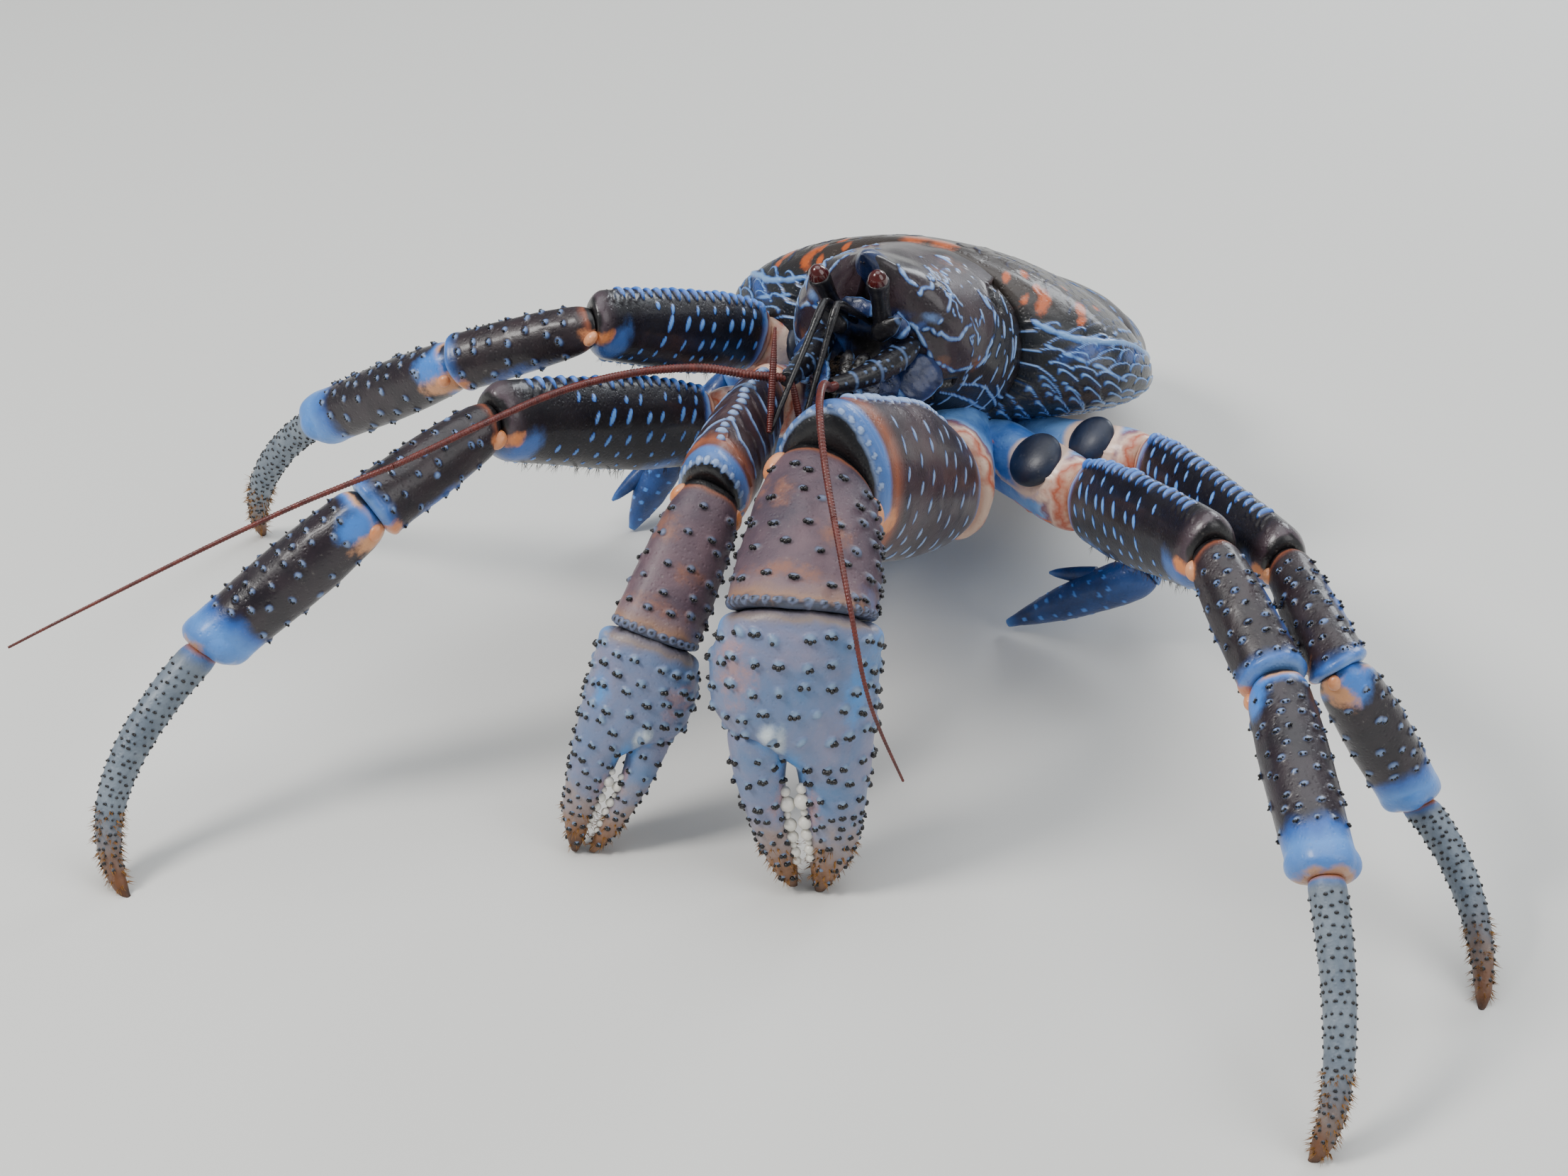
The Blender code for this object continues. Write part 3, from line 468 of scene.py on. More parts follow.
def in_rows(span, count, degrees, seed, jitter=.10):
    """Places in straight rows along a loft, one row for each angle, staggered."""
    dice = np.random.RandomState(seed)
    t, angles = [], []
    for row, angle in enumerate(degrees):
        for i in range(count):
            share = (i + .5 + .5 * (row % 2) - .25) / count
            t.append(
                span[0] + (span[1] - span[0]) * share + dice.uniform(-jitter,
                    jitter) * (span[1] - span[0]) / count)
            angles.append(angle + dice.uniform(-2.5, 2.5))
    return np.array(t), np.array(angles)


def varied(value, count, seed, amount=.2):
    return value * (1 + np.random.RandomState(seed).uniform(-amount, amount, count))


def spines(name, roots, ways, radii, heights, finish, sides=6, uv=None, waist=.55):
    """Many small cones in one mesh: a sunk foot, a waist and a point each."""
    count = len(roots)
    if not count:
        return None
    ways = unit(ways)
    other = np.where(np.abs(ways[:, 2:3]) < .9, np.array((0.0, 0, 1)), np.array((1.0, 0, 0)))
    a = unit(np.cross(ways, other))
    b = np.cross(ways, a)
    turn = np.linspace(0, 2 * np.pi, sides, endpoint=False)
    ring = a[:, None, :] * np.cos(turn)[None, :, None] + b[:, None, :] * np.sin(turn)[None, :, None]
    radii, heights = np.asarray(radii)[:, None, None], np.asarray(heights)[:, None, None]
    foot = roots[:, None, :] - ways[:, None, :] * radii * .9 + ring * radii
    middle = roots[:, None, :] + ways[:, None, :] * heights * .6 + ring * radii * waist
    tip = roots[:, None, :] + ways[:, None, :] * heights
    points = np.concatenate((foot, middle, tip), 1)
    each = 2 * sides + 1
    k = np.arange(sides)
    n = (k + 1) % sides
    quads = np.stack((k, n, n + sides, k + sides), -1)
    sides_up = np.stack((k + sides, n + sides, np.full(sides, 2 * sides)), -1)
    base = np.array([(0, i + 1, i) for i in range(1, sides - 1)])
    start = (np.arange(count) * each)[:, None, None]
    made = mesh_from_arrays(name, points.reshape(-1, 3) + SHIFT, (quads[None] + start).reshape(-1, 4),
                            (np.concatenate((sides_up, base))[None] + start).reshape(-1, 3), finish)
    if uv is not None:
        layer = made.data.uv_layers.new(name="OFBake")
        corner = np.zeros(len(made.data.loops), np.int32)
        made.data.loops.foreach_get("vertex_index", corner)
        patch = np.concatenate((np.stack((np.cos(turn), np.sin(turn)), -1) * .0015,
                                np.stack((np.cos(turn), np.sin(turn)), -1) * .0008, np.zeros((1, 2))))
        spread = (np.asarray(uv)[:, None, :] + patch[None]).reshape(-1, 2)
        layer.data.foreach_set("uv", spread[corner].astype(np.float32).ravel())
    return made


# %% [markdown]
# ## Materials
# The shell is lacquer-like: a dark ground with a soft mottle, fine pits and dust in its surface, blue
# paint-like pigment on what stands up, and bands of cream, pink, orange and light blue where a segment
# ends. Four effects are used by nearly all materials, so they are shader groups: a mottle of two colours,
# a band that follows the distance from a joint with a ragged edge, a patch whose edge is broken up, and
# fine surface grain.

# %% Colours and node helpers
def colour(code):
    """A colour from its common six-digit code, as light values."""
    values = [int(code[i:i + 2], 16) / 255 for i in (0, 2, 4)]
    return [v / 12.92 if v <= .04045 else ((v + .055) / 1.055) ** 2.4 for v in values] + [1.0]


def feed(tree, socket, value):
    """Sets a socket to a value, or links it to another node's output."""
    if isinstance(value, bpy.types.NodeSocket):
        tree.links.new(value, socket)
    else:
        socket.default_value = value


def add(tree, kind, **settings):
    """A new node; a setting that starts with in_ goes to that input, the others to the node itself."""
    node = tree.nodes.new(kind)
    for field, value in settings.items():
        if field.startswith("in_"):
            feed(tree, node.inputs[field[3:].replace("_", " ")], value)
        else:
            setattr(node, field, value)
    return node


def group(name, inputs, outputs):
    """A new shader group with named sockets, a colour where there is no value, and its two end nodes."""
    tree = bpy.data.node_groups.new(name, "ShaderNodeTree")
    for label, value in inputs.items():
        kind = "NodeSocketColor" if value is None else "NodeSocketFloat"
        socket = tree.interface.new_socket(label, in_out="INPUT", socket_type=kind)
        if value is not None:
            socket.default_value = value
    for label in outputs:
        kind = "NodeSocketColor" if label == "Color" else "NodeSocketFloat"
        tree.interface.new_socket(label, in_out="OUTPUT", socket_type=kind)
    return tree, tree.nodes.new("NodeGroupInput"), tree.nodes.new("NodeGroupOutput")


def mix(tree, factor, first, second):
    """A colour mix; each of the three may be a socket or a value."""
    node = add(tree, "ShaderNodeMix", data_type="RGBA")
    for number, value in ((0, factor), (6, first), (7, second)):
        feed(tree, node.inputs[number], value)
    return node.outputs[2]


def maths(tree, operation, first, second, clamp=False):
    node = add(tree, "ShaderNodeMath", operation=operation, use_clamp=clamp)
    feed(tree, node.inputs[0], first)
    feed(tree, node.inputs[1], second)
    return node.outputs[0]


def between(tree, value, low, high, **settings):
    """A value stretched so that low comes out as 0 and high as 1."""
    node = add(tree, "ShaderNodeMapRange", in_Value=value, in_From_Min=low, in_From_Max=high, **settings)
    return node.outputs[0]


def texture(tree, kind, **settings):
    """A noise or cell texture that fills the piece's own space."""
    node = add(tree, "ShaderNodeTex" + kind, **settings)
    feed(tree, node.inputs["Vector"], add(tree, "ShaderNodeTexCoord").outputs["Object"])
    return node


def mesh_mask(tree, name):
    """One of the masks that a skin keeps on its mesh."""
    return add(tree, "ShaderNodeAttribute", attribute_name=name).outputs["Fac"]


def ramp(tree, value, stops):
    """A colour ramp; its stops are (place, colour code, alpha)."""
    node = add(tree, "ShaderNodeValToRGB", in_Fac=value)
    elements = node.color_ramp.elements
    while len(elements) < len(stops):
        elements.new(.5)
    for element, (place, code, alpha) in zip(elements, stops):
        element.position = place
        element.color = (*colour(code)[:3], alpha)
    return node.outputs["Color"], node.outputs["Alpha"]


def new_material(name):
    made = bpy.data.materials.new(name)
    made.use_nodes = True
    return made


def dress(made, **values):
    """Feeds the sockets of a material's own shader."""
    shader = made.node_tree.nodes["Principled BSDF"]
    for label, value in values.items():
        feed(made.node_tree, shader.inputs[label.replace("_", " ")], value)


# %% Shared effects as shader groups
def make_mottle_group():
    """A ground colour with soft patches of a second one."""
    tree, start, end = group("shell mottle", {"Ground": None, "Patch": None, "Scale": 90.0, "Amount": .6},
                             ["Color"])
    broad = texture(tree, "Noise", in_Scale=start.outputs["Scale"], in_Detail=5.0, in_Roughness=.62,
                    in_Distortion=.4)
    share = maths(tree, "MULTIPLY", between(tree, broad.outputs["Fac"], .38, .66),
                  start.outputs["Amount"], True)
    feed(tree, end.inputs["Color"], mix(tree, share, start.outputs["Ground"], start.outputs["Patch"]))
    return tree


def make_band_group():
    """The distance from a joint in shares of the band's width, uneven at its edge; 1 is beyond the band."""
    tree, start, end = group("joint band", {"Distance": 0.0, "Width": 10.0, "Ragged": .5}, ["Share"])
    noise = texture(tree, "Noise", in_Scale=160.0, in_Detail=3.0)
    width = start.outputs["Width"]
    centred = maths(tree, "SUBTRACT", noise.outputs["Fac"], .5)
    push = maths(tree, "MULTIPLY", maths(tree, "MULTIPLY", centred, start.outputs["Ragged"]), width)
    pushed = maths(tree, "ADD", start.outputs["Distance"], push)
    feed(tree, end.inputs["Share"], maths(tree, "DIVIDE", pushed, width, True))
    return tree


def make_patch_group():
    """A patch mask with its edge broken up by noise."""
    tree, start, end = group("ragged patch", {"Mask": 0.0, "Ragged": .5}, ["Share"])
    mask = start.outputs["Mask"]
    noise = texture(tree, "Noise", in_Scale=240.0, in_Detail=5.0, in_Roughness=.65)
    push = maths(tree, "MULTIPLY", maths(tree, "SUBTRACT", noise.outputs["Fac"], .5),
                 start.outputs["Ragged"])
    push = maths(tree, "MULTIPLY", push, maths(tree, "MULTIPLY", mask, 4.0, True))
    share = between(tree, maths(tree, "ADD", mask, push), .12, .92, interpolation_type="SMOOTHSTEP")
    feed(tree, end.inputs["Share"], share)
    return tree


def make_grain_group():
    """Fine pits and dust: a height for the bump, a roughness and a dust mask."""
    tree, start, end = group("shell grain", {"Pits": 1.0, "Dust": .2, "Smooth": .28, "Rough": .5},
                             ["Height", "Roughness", "Dust"])
    fine = texture(tree, "Noise", in_Scale=1300.0, in_Detail=4.0, in_Roughness=.7)
    pits = texture(tree, "Voronoi", in_Scale=620.0)
    flecks = texture(tree, "Noise", in_Scale=420.0, in_Detail=6.0, in_Roughness=.8)
    patches = texture(tree, "Noise", in_Scale=70.0, in_Detail=3.0)
    holes = maths(tree, "MULTIPLY", between(tree, pits.outputs["Distance"], 0.0, .35),
                  start.outputs["Pits"])
    feed(tree, end.inputs["Height"], maths(tree, "ADD", holes, fine.outputs["Fac"]))
    rough = between(tree, patches.outputs["Fac"], .35, .65, in_To_Min=start.outputs["Smooth"],
                    in_To_Max=start.outputs["Rough"])
    feed(tree, end.inputs["Roughness"], rough)
    specks = between(tree, flecks.outputs["Fac"], .60, .72)
    feed(tree, end.inputs["Dust"], maths(tree, "MULTIPLY", specks, start.outputs["Dust"], True))
    return tree


MOTTLE = make_mottle_group()
PATCH = make_patch_group()
BAND = make_band_group()
GRAIN = make_grain_group()
print("shader groups:", [g.name for g in bpy.data.node_groups])


# %% The shell material
POINT_BLACK = "0b090c"
DUST_GREY = "b9b2a8"


def shell_finish(name, ground, patch, spot="4f8fe0", spot_edge="24509c", near=None, far=None, top=None,
                 scale=90.0, amount=.6, pits=1.0, dust=.2, smooth=.28, rough=.48, bump=.35, coat=.25,
                 painted_shade="0e0b10", blue="2f74d0", warm="c8703c", pale="e4e6ea"):
    """Painted shell: mottled ground, bands at both ends, coloured relief and dark points.

    near and far are (width in mm, raggedness, stops) for the bands at the segment's two ends. top is (low,
    high, colour code, amount) for a tint that depends on how far round the limb a place lies. The patches
    that a segment carries are coloured by blue, warm and pale, and one more colour is a painted shadow that
    darkens the skin under an overhanging plate edge.
    """
    made = new_material(name)
    tree = made.node_tree
    mottle = add(tree, "ShaderNodeGroup", node_tree=MOTTLE, in_Ground=colour(ground),
                 in_Patch=colour(patch), in_Scale=scale, in_Amount=amount)
    grain = add(tree, "ShaderNodeGroup", node_tree=GRAIN, in_Pits=pits, in_Dust=dust, in_Smooth=smooth,
                in_Rough=rough)
    paint = mottle.outputs["Color"]
    if top:
        low, high, code, most = top
        paint = mix(tree, between(tree, mesh_mask(tree, "top"), low, high, in_To_Max=most), paint,
                    colour(code))
    for mask, band in (("near", near), ("far", far)):
        if band:
            width, ragged, stops = band
            share = add(tree, "ShaderNodeGroup", node_tree=BAND, in_Distance=mesh_mask(tree, mask),
                        in_Width=width, in_Ragged=ragged)
            shades, alpha = ramp(tree, share.outputs["Share"], stops)
            paint = mix(tree, alpha, paint, shades)
    # the first of these four patches is a painted shadow under an overhanging plate edge; the others are the
    # shell's own colours
    for mask, code, ragged in (("painted_shade", painted_shade, .2), ("blue", blue, .9), ("warm", warm, 1.9),
                               ("pale", pale, .8)):
        share = add(tree, "ShaderNodeGroup", node_tree=PATCH, in_Mask=mesh_mask(tree, mask),
                    in_Ragged=ragged)
        paint = mix(tree, share.outputs["Share"], paint, colour(code))
    raised = mesh_mask(tree, "spot")
    pigment = mix(tree, between(tree, raised, .25, .95), colour(spot_edge), colour(spot))
    paint = mix(tree, between(tree, raised, .08, .45), paint, pigment)
    paint = mix(tree, mesh_mask(tree, "dark"), paint, colour(POINT_BLACK))
    paint = mix(tree, grain.outputs["Dust"], paint, colour(DUST_GREY))
    relief = add(tree, "ShaderNodeBump", in_Strength=bump, in_Distance=.0004,
                 in_Height=grain.outputs["Height"])
    dress(made, Base_Color=paint, Roughness=grain.outputs["Roughness"], Normal=relief.outputs["Normal"],
          Specular_IOR_Level=.5, Coat_Weight=coat, Coat_Roughness=.18)
    return made


THIGH_NEAR = (9.5, .35, ((0, "8c4a38", 1), (.12, "e2b9a2", 1), (.30, "d6a58c", 1), (.42, "7a3a30", 1),
                         (.55, "7fb0ec", 1), (.75, "3a6cc0", .8), (1, "16264c", 0)))
THIGH_FAR = (9.0, .5, ((0, "0b090c", 1), (.10, "161014", 1), (.20, "4c3c44", .9), (.5, "3e3036", .8),
                       (1, "30222a", 0)))
KNEE_NEAR = (5.0, .6, ((0, "0a080b", 1), (.35, "120d10", 1), (.55, "8a4c34", .9), (1, "4a2c2a", 0)))
KNEE_FAR = (6.0, .8, ((0, "6f9ad6", 1), (.3, "3f74c4", .9), (1, "1c2d54", 0)))
SHIN_NEAR = (6.5, .6, ((0, "0a080b", 1), (.22, "1a1214", 1), (.36, "d8a074", 1), (.62, "4a86d8", .9),
                       (1, "23509c", 0)))
SHIN_FAR = (17.0, .4, ((0, "b98a6c", 1), (.10, "4a7cc4", 1), (.45, "5590dc", 1), (.76, "2a60b2", .95),
                       (1, "1b2d55", 0)))
TOE_NEAR = (4.0, .6, ((0, "c07a4a", 1), (.4, "3f6fb4", .7), (1, "4a5878", 0)))
TOE_FAR = (32.0, .5, ((0, "20140e", 1), (.2, "6e4426", 1), (.5, "7a6252", .8), (1, "5c6270", 0)))
ROOT_NEAR = (9.0, .8, ((0, "2a3c6c", 1), (1, "3f6fb4", 0)))
ROOT_FAR = (13.0, .7, ((0, "d8b49c", 1), (.16, "b85a3c", 1), (.34, "e6c0a8", .95), (.52, "8a4438", .8),
                       (.66, "88b4e8", .9), (1, "4d8ada", 0)))
ARM_NEAR = (8.0, .5, ((0, "b8684a", 1), (.4, "6f94cc", .9), (1, "3a3a58", 0)))
ARM_FAR = (19.0, .05, ((0, "0c0a0e", 1), (.055, "0c0c12", 1), (.085, "7488ac", 1), (.12, "486fae", 1),
                       (.34, "5680c4", 1), (.46, "7a4a3a", 1), (.62, "a05a3a", .9), (1, "4e3430", 0)))
WRIST_NEAR = (4.0, .5, ((0, "060508", 1), (.4, "0d0b10", 1), (.6, "8a5238", .9), (1, "5d4848", 0)))
WRIST_FAR = (10.0, .6, ((0, "4c5468", 1), (.12, "3a3a46", 1), (.3, "94705a", .9), (.6, "80686a", .6),
                        (1, "66525a", 0)))
HAND_NEAR = (6.0, .7, ((0, "15131a", 1), (.2, "6a6470", 1), (.5, "8f7a68", .8), (1, "6a7aa4", 0)))
HAND_FAR = (30.0, .7, ((0, "4a2c18", 1), (.22, "8a6244", 1), (.6, "a08c80", .75), (1, "8088a4", 0)))
SMALL_LEG_FAR = (5.0, .6, ((0, "4f86d0", .8), (1, "2a5cb0", 0)))
# the shield's darkest patch colour below is a painted shadow, laid under the overhanging edge of its front
# plate
SHIELD = shell_finish(
    "shield_shell", "1c1218", "46343a", spot="93b6e2", spot_edge="2554a0", scale=38.0, amount=.85,
    dust=.22, coat=.5, painted_shade="110c12", blue="254f94", warm="6e4634", pale="6c8cc0")
LOBES = shell_finish(
    "lobe_shell", "121418", "23272e", spot="78a4d8", spot_edge="1f4c94", scale=60.0, amount=.8, dust=.34,
    coat=.4, top=(.42, .72, "33271f", .85), warm="b8561e", blue="1f4f9c", pits=1.4)
BELLY = shell_finish("breast_shell", "27508f", "4f7fc0", dust=.1)
MERUS_PAINT = shell_finish(
    "thigh_shell", "0d090f", "1c1218", spot="6ba6ee", spot_edge="1f58bb", far=THIGH_FAR, near=THIGH_NEAR,
    coat=.35, dust=.14, blue="3f6cb4", warm="e08a50", pale="d9b09c")
CARPUS_PAINT = shell_finish("knee_shell", "1a1218", "3a2a2e", spot="7390bf", spot_edge="3a4f7c",
                            far=KNEE_FAR, near=KNEE_NEAR, coat=.25, blue="2d62b8", warm="d98a58")
PROPODUS_PAINT = shell_finish("shin_shell", "1a131b", "35272e", spot="7c93b8", spot_edge="42547c",
                              near=SHIN_NEAR, far=SHIN_FAR, coat=.25, blue="3f82da", warm="d99a6a")
DACTYL_PAINT = shell_finish(
    "toe_shell", "66727f", "8b96a0", spot="4a505a", spot_edge="5c6672", scale=110.0, near=TOE_NEAR,
    far=TOE_FAR, coat=.05, rough=.6, smooth=.42, dust=.25)
BASE_PAINT = shell_finish(
    "leg_root_shell", "2f66b4", "78a8e0", spot="a9c8ee", spot_edge="5f93d8", scale=55.0, amount=1.0,
    near=ROOT_NEAR, far=ROOT_FAR, coat=.35, warm="d87848", pale="e8c8b4")
CLAW_MERUS_PAINT = shell_finish(
    "arm_shell", "2c1e22", "4e383a", spot="8fa8d0", spot_edge="3c5a92", scale=50.0, amount=.9,
    near=ARM_NEAR, far=ARM_FAR, coat=.25, dust=.18, warm="e09058", blue="4f78bc")
CLAW_CARPUS_PAINT = shell_finish(
    "wrist_shell", "463a46", "69525a", spot="66708c", spot_edge="4c4a58", scale=42.0, amount=1.0,
    near=WRIST_NEAR, far=WRIST_FAR, coat=.05, smooth=.4, rough=.6, warm="83584a", blue="56648c", dust=.25)
PALM_PAINT = shell_finish(
    "hand_shell", "5c7ba4", "8c879e", spot="8098b4", spot_edge="64789a", scale=38.0, amount=.9,
    near=HAND_NEAR, far=HAND_FAR, coat=.08, smooth=.34, rough=.55, blue="5294d6", warm="a5858a",
    pale="d6e2e6", dust=.2)
SMALL_LEG_PAINT = shell_finish("small_leg_shell", "16305f", "2c5aa4", scale=80.0, far=SMALL_LEG_FAR,
                               coat=.3)
PLATE_PAINT = shell_finish("face_plate_shell", "101f44", "1c3a78", spot="7fa6d8", spot_edge="2f5ea8",
                           scale=120.0, dust=.2, coat=.35)
DARK_PAINT = shell_finish("dark_shell", "0a080c", "18141c", spot="52698f", spot_edge="2a3c5c", scale=140.0,
                          dust=.2, coat=.3)
BLACK_POINTS = shell_finish("black_points", "0a0809", "1c1516", dust=.1, coat=.15, bump=.1, rough=.42)
FEELER_PAINT = shell_finish("feeler_shell", "4a1510", "7a2e20", spot="9a4a34", spot_edge="6a2a1e",
                            scale=300.0, dust=.1, coat=.15, rough=.5)
TOOTH_PAINT = shell_finish("tooth_shell", "dcd8ce", "f4f1ea", scale=200.0, dust=.05, coat=.3, bump=.1)
CONDYLE_PAINT = shell_finish("condyle_shell", "10172a", "26344f", scale=60.0, dust=.12, smooth=.38,
                             rough=.52, pits=.3, bump=.15, coat=.05)
HINGE_PAINT = shell_finish("hinge_shell", "d8844c", "eeb48c", scale=120.0, dust=.08, coat=.35)
HAIR_PAINT = shell_finish("golden_bristle", "8a5a20", "c08a3a", scale=400.0, dust=0, coat=0, rough=.6,
                          bump=.05)
FUZZ_PAINT = shell_finish("dark_bristle", "2a2018", "5a4630", scale=400.0, dust=0, coat=0, rough=.6,
                          bump=.05)


# %% The eyes' and the floor's materials
def eye_finish():
    """Dark red glass with fine facets, a pale ring at its edge and black below it."""
    made = new_material("eye_glass")
    tree = made.node_tree
    cells = texture(tree, "Voronoi", in_Scale=3200.0)
    noise = texture(tree, "Noise", in_Scale=260.0)
    red = mix(tree, noise.outputs["Fac"], colour("240504"), colour("5c0f0a"))
    edge = mesh_mask(tree, "edge")
    paint = mix(tree, between(tree, edge, -.05, .05), colour("0a080b"), colour("9a6a66"))
    paint = mix(tree, between(tree, edge, .22, .38), paint, red)
    facets = add(tree, "ShaderNodeBump", in_Strength=.005, in_Distance=.0001,
                 in_Height=cells.outputs["Distance"])
    dress(made, Base_Color=paint, Normal=facets.outputs["Normal"], Roughness=.25, Coat_Weight=.7,
          Coat_Roughness=.08)
    return made


EYE_PAINT = eye_finish()
floor_paint = new_material("pale_floor")
floor_noise = add(floor_paint.node_tree, "ShaderNodeTexNoise", in_Scale=6.0, in_Detail=4.0)
floor_colour = mix(floor_paint.node_tree, floor_noise.outputs["Fac"], colour("d9d8d3"), colour("e2e1dd"))
dress(floor_paint, Base_Color=floor_colour, Roughness=.75)
floor.data.materials.append(floor_paint)

# %% [markdown]
# ## The carapace
# The back shell has two parts. The front shield carries the beak between the eyes and a few raised,
# light-blue branching lines. Behind the neck groove the shell swells into two broad lobes over the gills,
# scaly at the sides and smoother on top, with orange patches. The body is tipped nose-up, so its sections
# are given in shares of the carapace length, along a line that slopes back and down.

# %% Carapace sizes
CARAPACE_LENGTH = 132 * MM
BODY_PITCH = math.radians(25)
ROSTRUM_TIP = mm((0, -17.6, 134))
FRONT_SECTIONS = (
    (-.01, .000, .008, .012, .012), (.03, -.010, .035, .020, .025), (.07, -.055, .10, .058, .070),
    (.12, -.10, .165, .105, .12), (.18, -.14, .205, .148, .16), (.26, -.17, .235, .188, .19),
    (.34, -.185, .26, .212, .21), (.42, -.19, .285, .222, .22))
REAR_SECTIONS = ((.42, -.19, .33, .228, .21), (.47, -.195, .43, .240, .19), (.55, -.20, .505, .246, .17),
                 (.66, -.205, .525, .246, .16), (.78, -.205, .50, .232, .16), (.88, -.20, .44, .200, .15),
                 (.95, -.19, .36, .160, .13), (1.0, -.18, .27, .115, .10))
STERNUM_SECTIONS = ((.16, -.355, .05, .03, .04), (.24, -.40, .11, .06, .06), (.40, -.43, .155, .07, .07),
                    (.60, -.43, .165, .07, .07), (.80, -.41, .15, .06, .06), (.90, -.39, .11, .05, .05))


def body_loft(table, power):
    c, s = math.cos(BODY_PITCH), math.sin(BODY_PITCH)
    tail = ROSTRUM_TIP + np.array((0, c, -s)) * CARAPACE_LENGTH
    return Loft((ROSTRUM_TIP, tail), (0, s, c), table, CARAPACE_LENGTH, power=power, shift="up")


def both_sides(lines):
    """Lines given for the crab's left side, with their mirror images."""
    return [*lines, *([(t, 180 - degrees) for t, degrees in line] for line in lines)]


# %% The shield with its raised lines
SHIELD_LINES = both_sides((
    ((.075, -52), (.092, -39), (.118, -39), (.151, -36), (.171, -34), (.201, -26), (.229, -16), (.253, -7)),
    ((.092, -37), (.109, -24), (.132, -17), (.166, -6), (.177, 1), (.201, 11)),
    ((.116, -8), (.134, 14), (.160, 31), (.155, 40), (.139, 44)),
    ((.058, 49), (.061, 20), (.072, 4)),
    ((.076, 1), (.084, 10), (.101, 25), (.125, 45)),
    ((.281, 44), (.287, 33), (.307, 25), (.290, 10), (.270, 1), (.270, -5), (.240, -17)),
    ((.20, 52), (.215, 60), (.235, 58)), ((.29, 66), (.30, 74), (.315, 70)),
))
CHEEK_LINES = both_sides((
    ((.220, -45), (.247, -39), (.284, -36), (.321, -35), (.378, -36)),
    ((.241, -30), (.275, -24), (.319, -22), (.372, -27), (.41, -33)),
    ((.173, -61), (.160, -52), (.161, -42)), ((.350, -18), (.38, -24), (.41, -26)),
    ((.357, -12), (.354, -6), (.351, 0)), ((.337, 22), (.332, 10)), ((.38, 12), (.375, 0)),
    ((.30, -50), (.34, -48), (.38, -50)), ((.26, -56), (.30, -60)), ((.34, -62), (.39, -60)),
))
SHIELD_EDGE = (
    (.0, -80), (.06, -74), (.075, -56), (.092, -40), (.118, -39), (.151, -36), (.171, -35), (.201, -26),
    (.229, -16), (.253, -7), (.267, 1), (.281, 12), (.298, 25), (.315, 36), (.34, 45), (.40, 50),
    (.42, 52))


def folded(degrees):
    """The angle on the left side that mirrors an angle on the right."""
    degrees = (degrees + 90) % 360 - 90
    return np.where(degrees > 90, 180 - degrees, degrees)


def step_down(skin, edge, depth, fade):
    """Sets the skin below a border back, so that the plate above it stands over the part below, and darkens
    it there with a painted shadow of the plate.
    """
    degrees = folded(np.degrees(skin.angle))[None, :]
    border = np.interp(skin.t, *np.array(edge, float).T)[:, None]
    arm = np.linalg.norm(skin.points - skin.centre[:, None, :], axis=2)
    below = np.radians(border - degrees) * arm
    slope = np.gradient(np.interp(skin.t, *np.array(edge, float).T), skin.along_mm)[:, None]
    below = below / np.hypot(1, np.radians(slope) * arm / MM)
    drop = np.clip(below / (.9 * MM), 0, 1) * np.exp(-np.maximum(below, 0) / fade)
    skin.height -= depth * drop
    skin.height += np.where(below < 0, .45 * MM * np.exp(below / (1.4 * MM)), 0)
    # painted shadow: the set-back skin below the border is darkened as if the plate above shaded it
    skin.masks["painted_shade"] = np.maximum(skin.masks["painted_shade"], np.clip(below / (1.5 * MM), 0, 1) * .85)


front = Skin(body_loft(FRONT_SECTIONS, 2.1), 240, 272, shoulders=(0, 3.0), drop=(0, .04))
front.wobble(14, .35, 3)
# the step also paints a shadow below the shield's edge
step_down(front, SHIELD_EDGE, 2.0 * MM, 14 * MM)
for seed, line in enumerate(SHIELD_LINES):
    front.trace(line, 1.4, .6, wiggle=.42, seed=seed)
for seed, line in enumerate(CHEEK_LINES):
    front.trace(line, 1.0, .55, wiggle=.12, seed=seed + 50)
dashes = np.random.RandomState(12)
for number, (t, degrees) in enumerate(zip(*scattered(front.loft, (.23, .40), (-70, 34), 6.6, 12, .2))):
    if degrees < np.interp(t, *np.array(SHIELD_EDGE, float).T) - 6:
        lean, length = dashes.uniform(-.004, .006), dashes.uniform(3.5, 6.5)
        line = ((t, degrees), (t + lean, degrees + length), (t + lean * 2.6, degrees + 1.9 * length))
        for piece in both_sides((line,)):
            front.trace(piece, .85, .4, wiggle=.1, seed=number)
for number in range(14):
    t, degrees = dashes.uniform(.11, .30), dashes.uniform(-20, 70)
    walk = [(t, degrees)]
    for turn in range(dashes.randint(2, 5)):
        t, degrees = walk[-1]
        t += dashes.uniform(-.002, .016)
        degrees += dashes.choice((-1, 1)) * dashes.uniform(4, 9)
        walk.append((t, degrees))
    for piece in both_sides((walk,)):
        front.trace(piece, .8, .35, wiggle=.5, seed=number)
for number in range(16):
    t, degrees = dashes.uniform(.12, .40), dashes.uniform(-20, 88)
    for piece in both_sides((((t, degrees), (t + .006, degrees + dashes.uniform(-4, 4))),)):
        front.trace(piece, .7, .25, seed=number)
for t, degrees, long, wide, mask in (
        (.165, -34, 8, 11, "warm"), (.245, -12, 6, 7, "warm"), (.105, -14, 7, 5, "pale"),
        (.10, -30, 4, 9, "blue"), (.085, -68, 12, 22, "blue"), (.30, 66, 14, 15, "warm"),
        (.13, -66, 14, 12, "blue"), (.20, 60, 8, 8, "warm")):
    front.patch(mask, t, degrees, long, wide, 1.3)
    front.patch(mask, t, 180 - degrees, long, wide, 1.3)
keep(front.mesh_object("shield", SHIELD), "shell", "carapace_front")
print("shield points:", front.height.size)


# %% [markdown]
# The sides of the lobes are covered with overlapping scales, each with a pale-blue rim at its free, upper
# edge. A scale is a stamp of its own: it slopes up to the free edge and drops there. They are laid row by
# row from the top down, so that each row overlaps the one above, and along the shell each one overlaps
# the next.

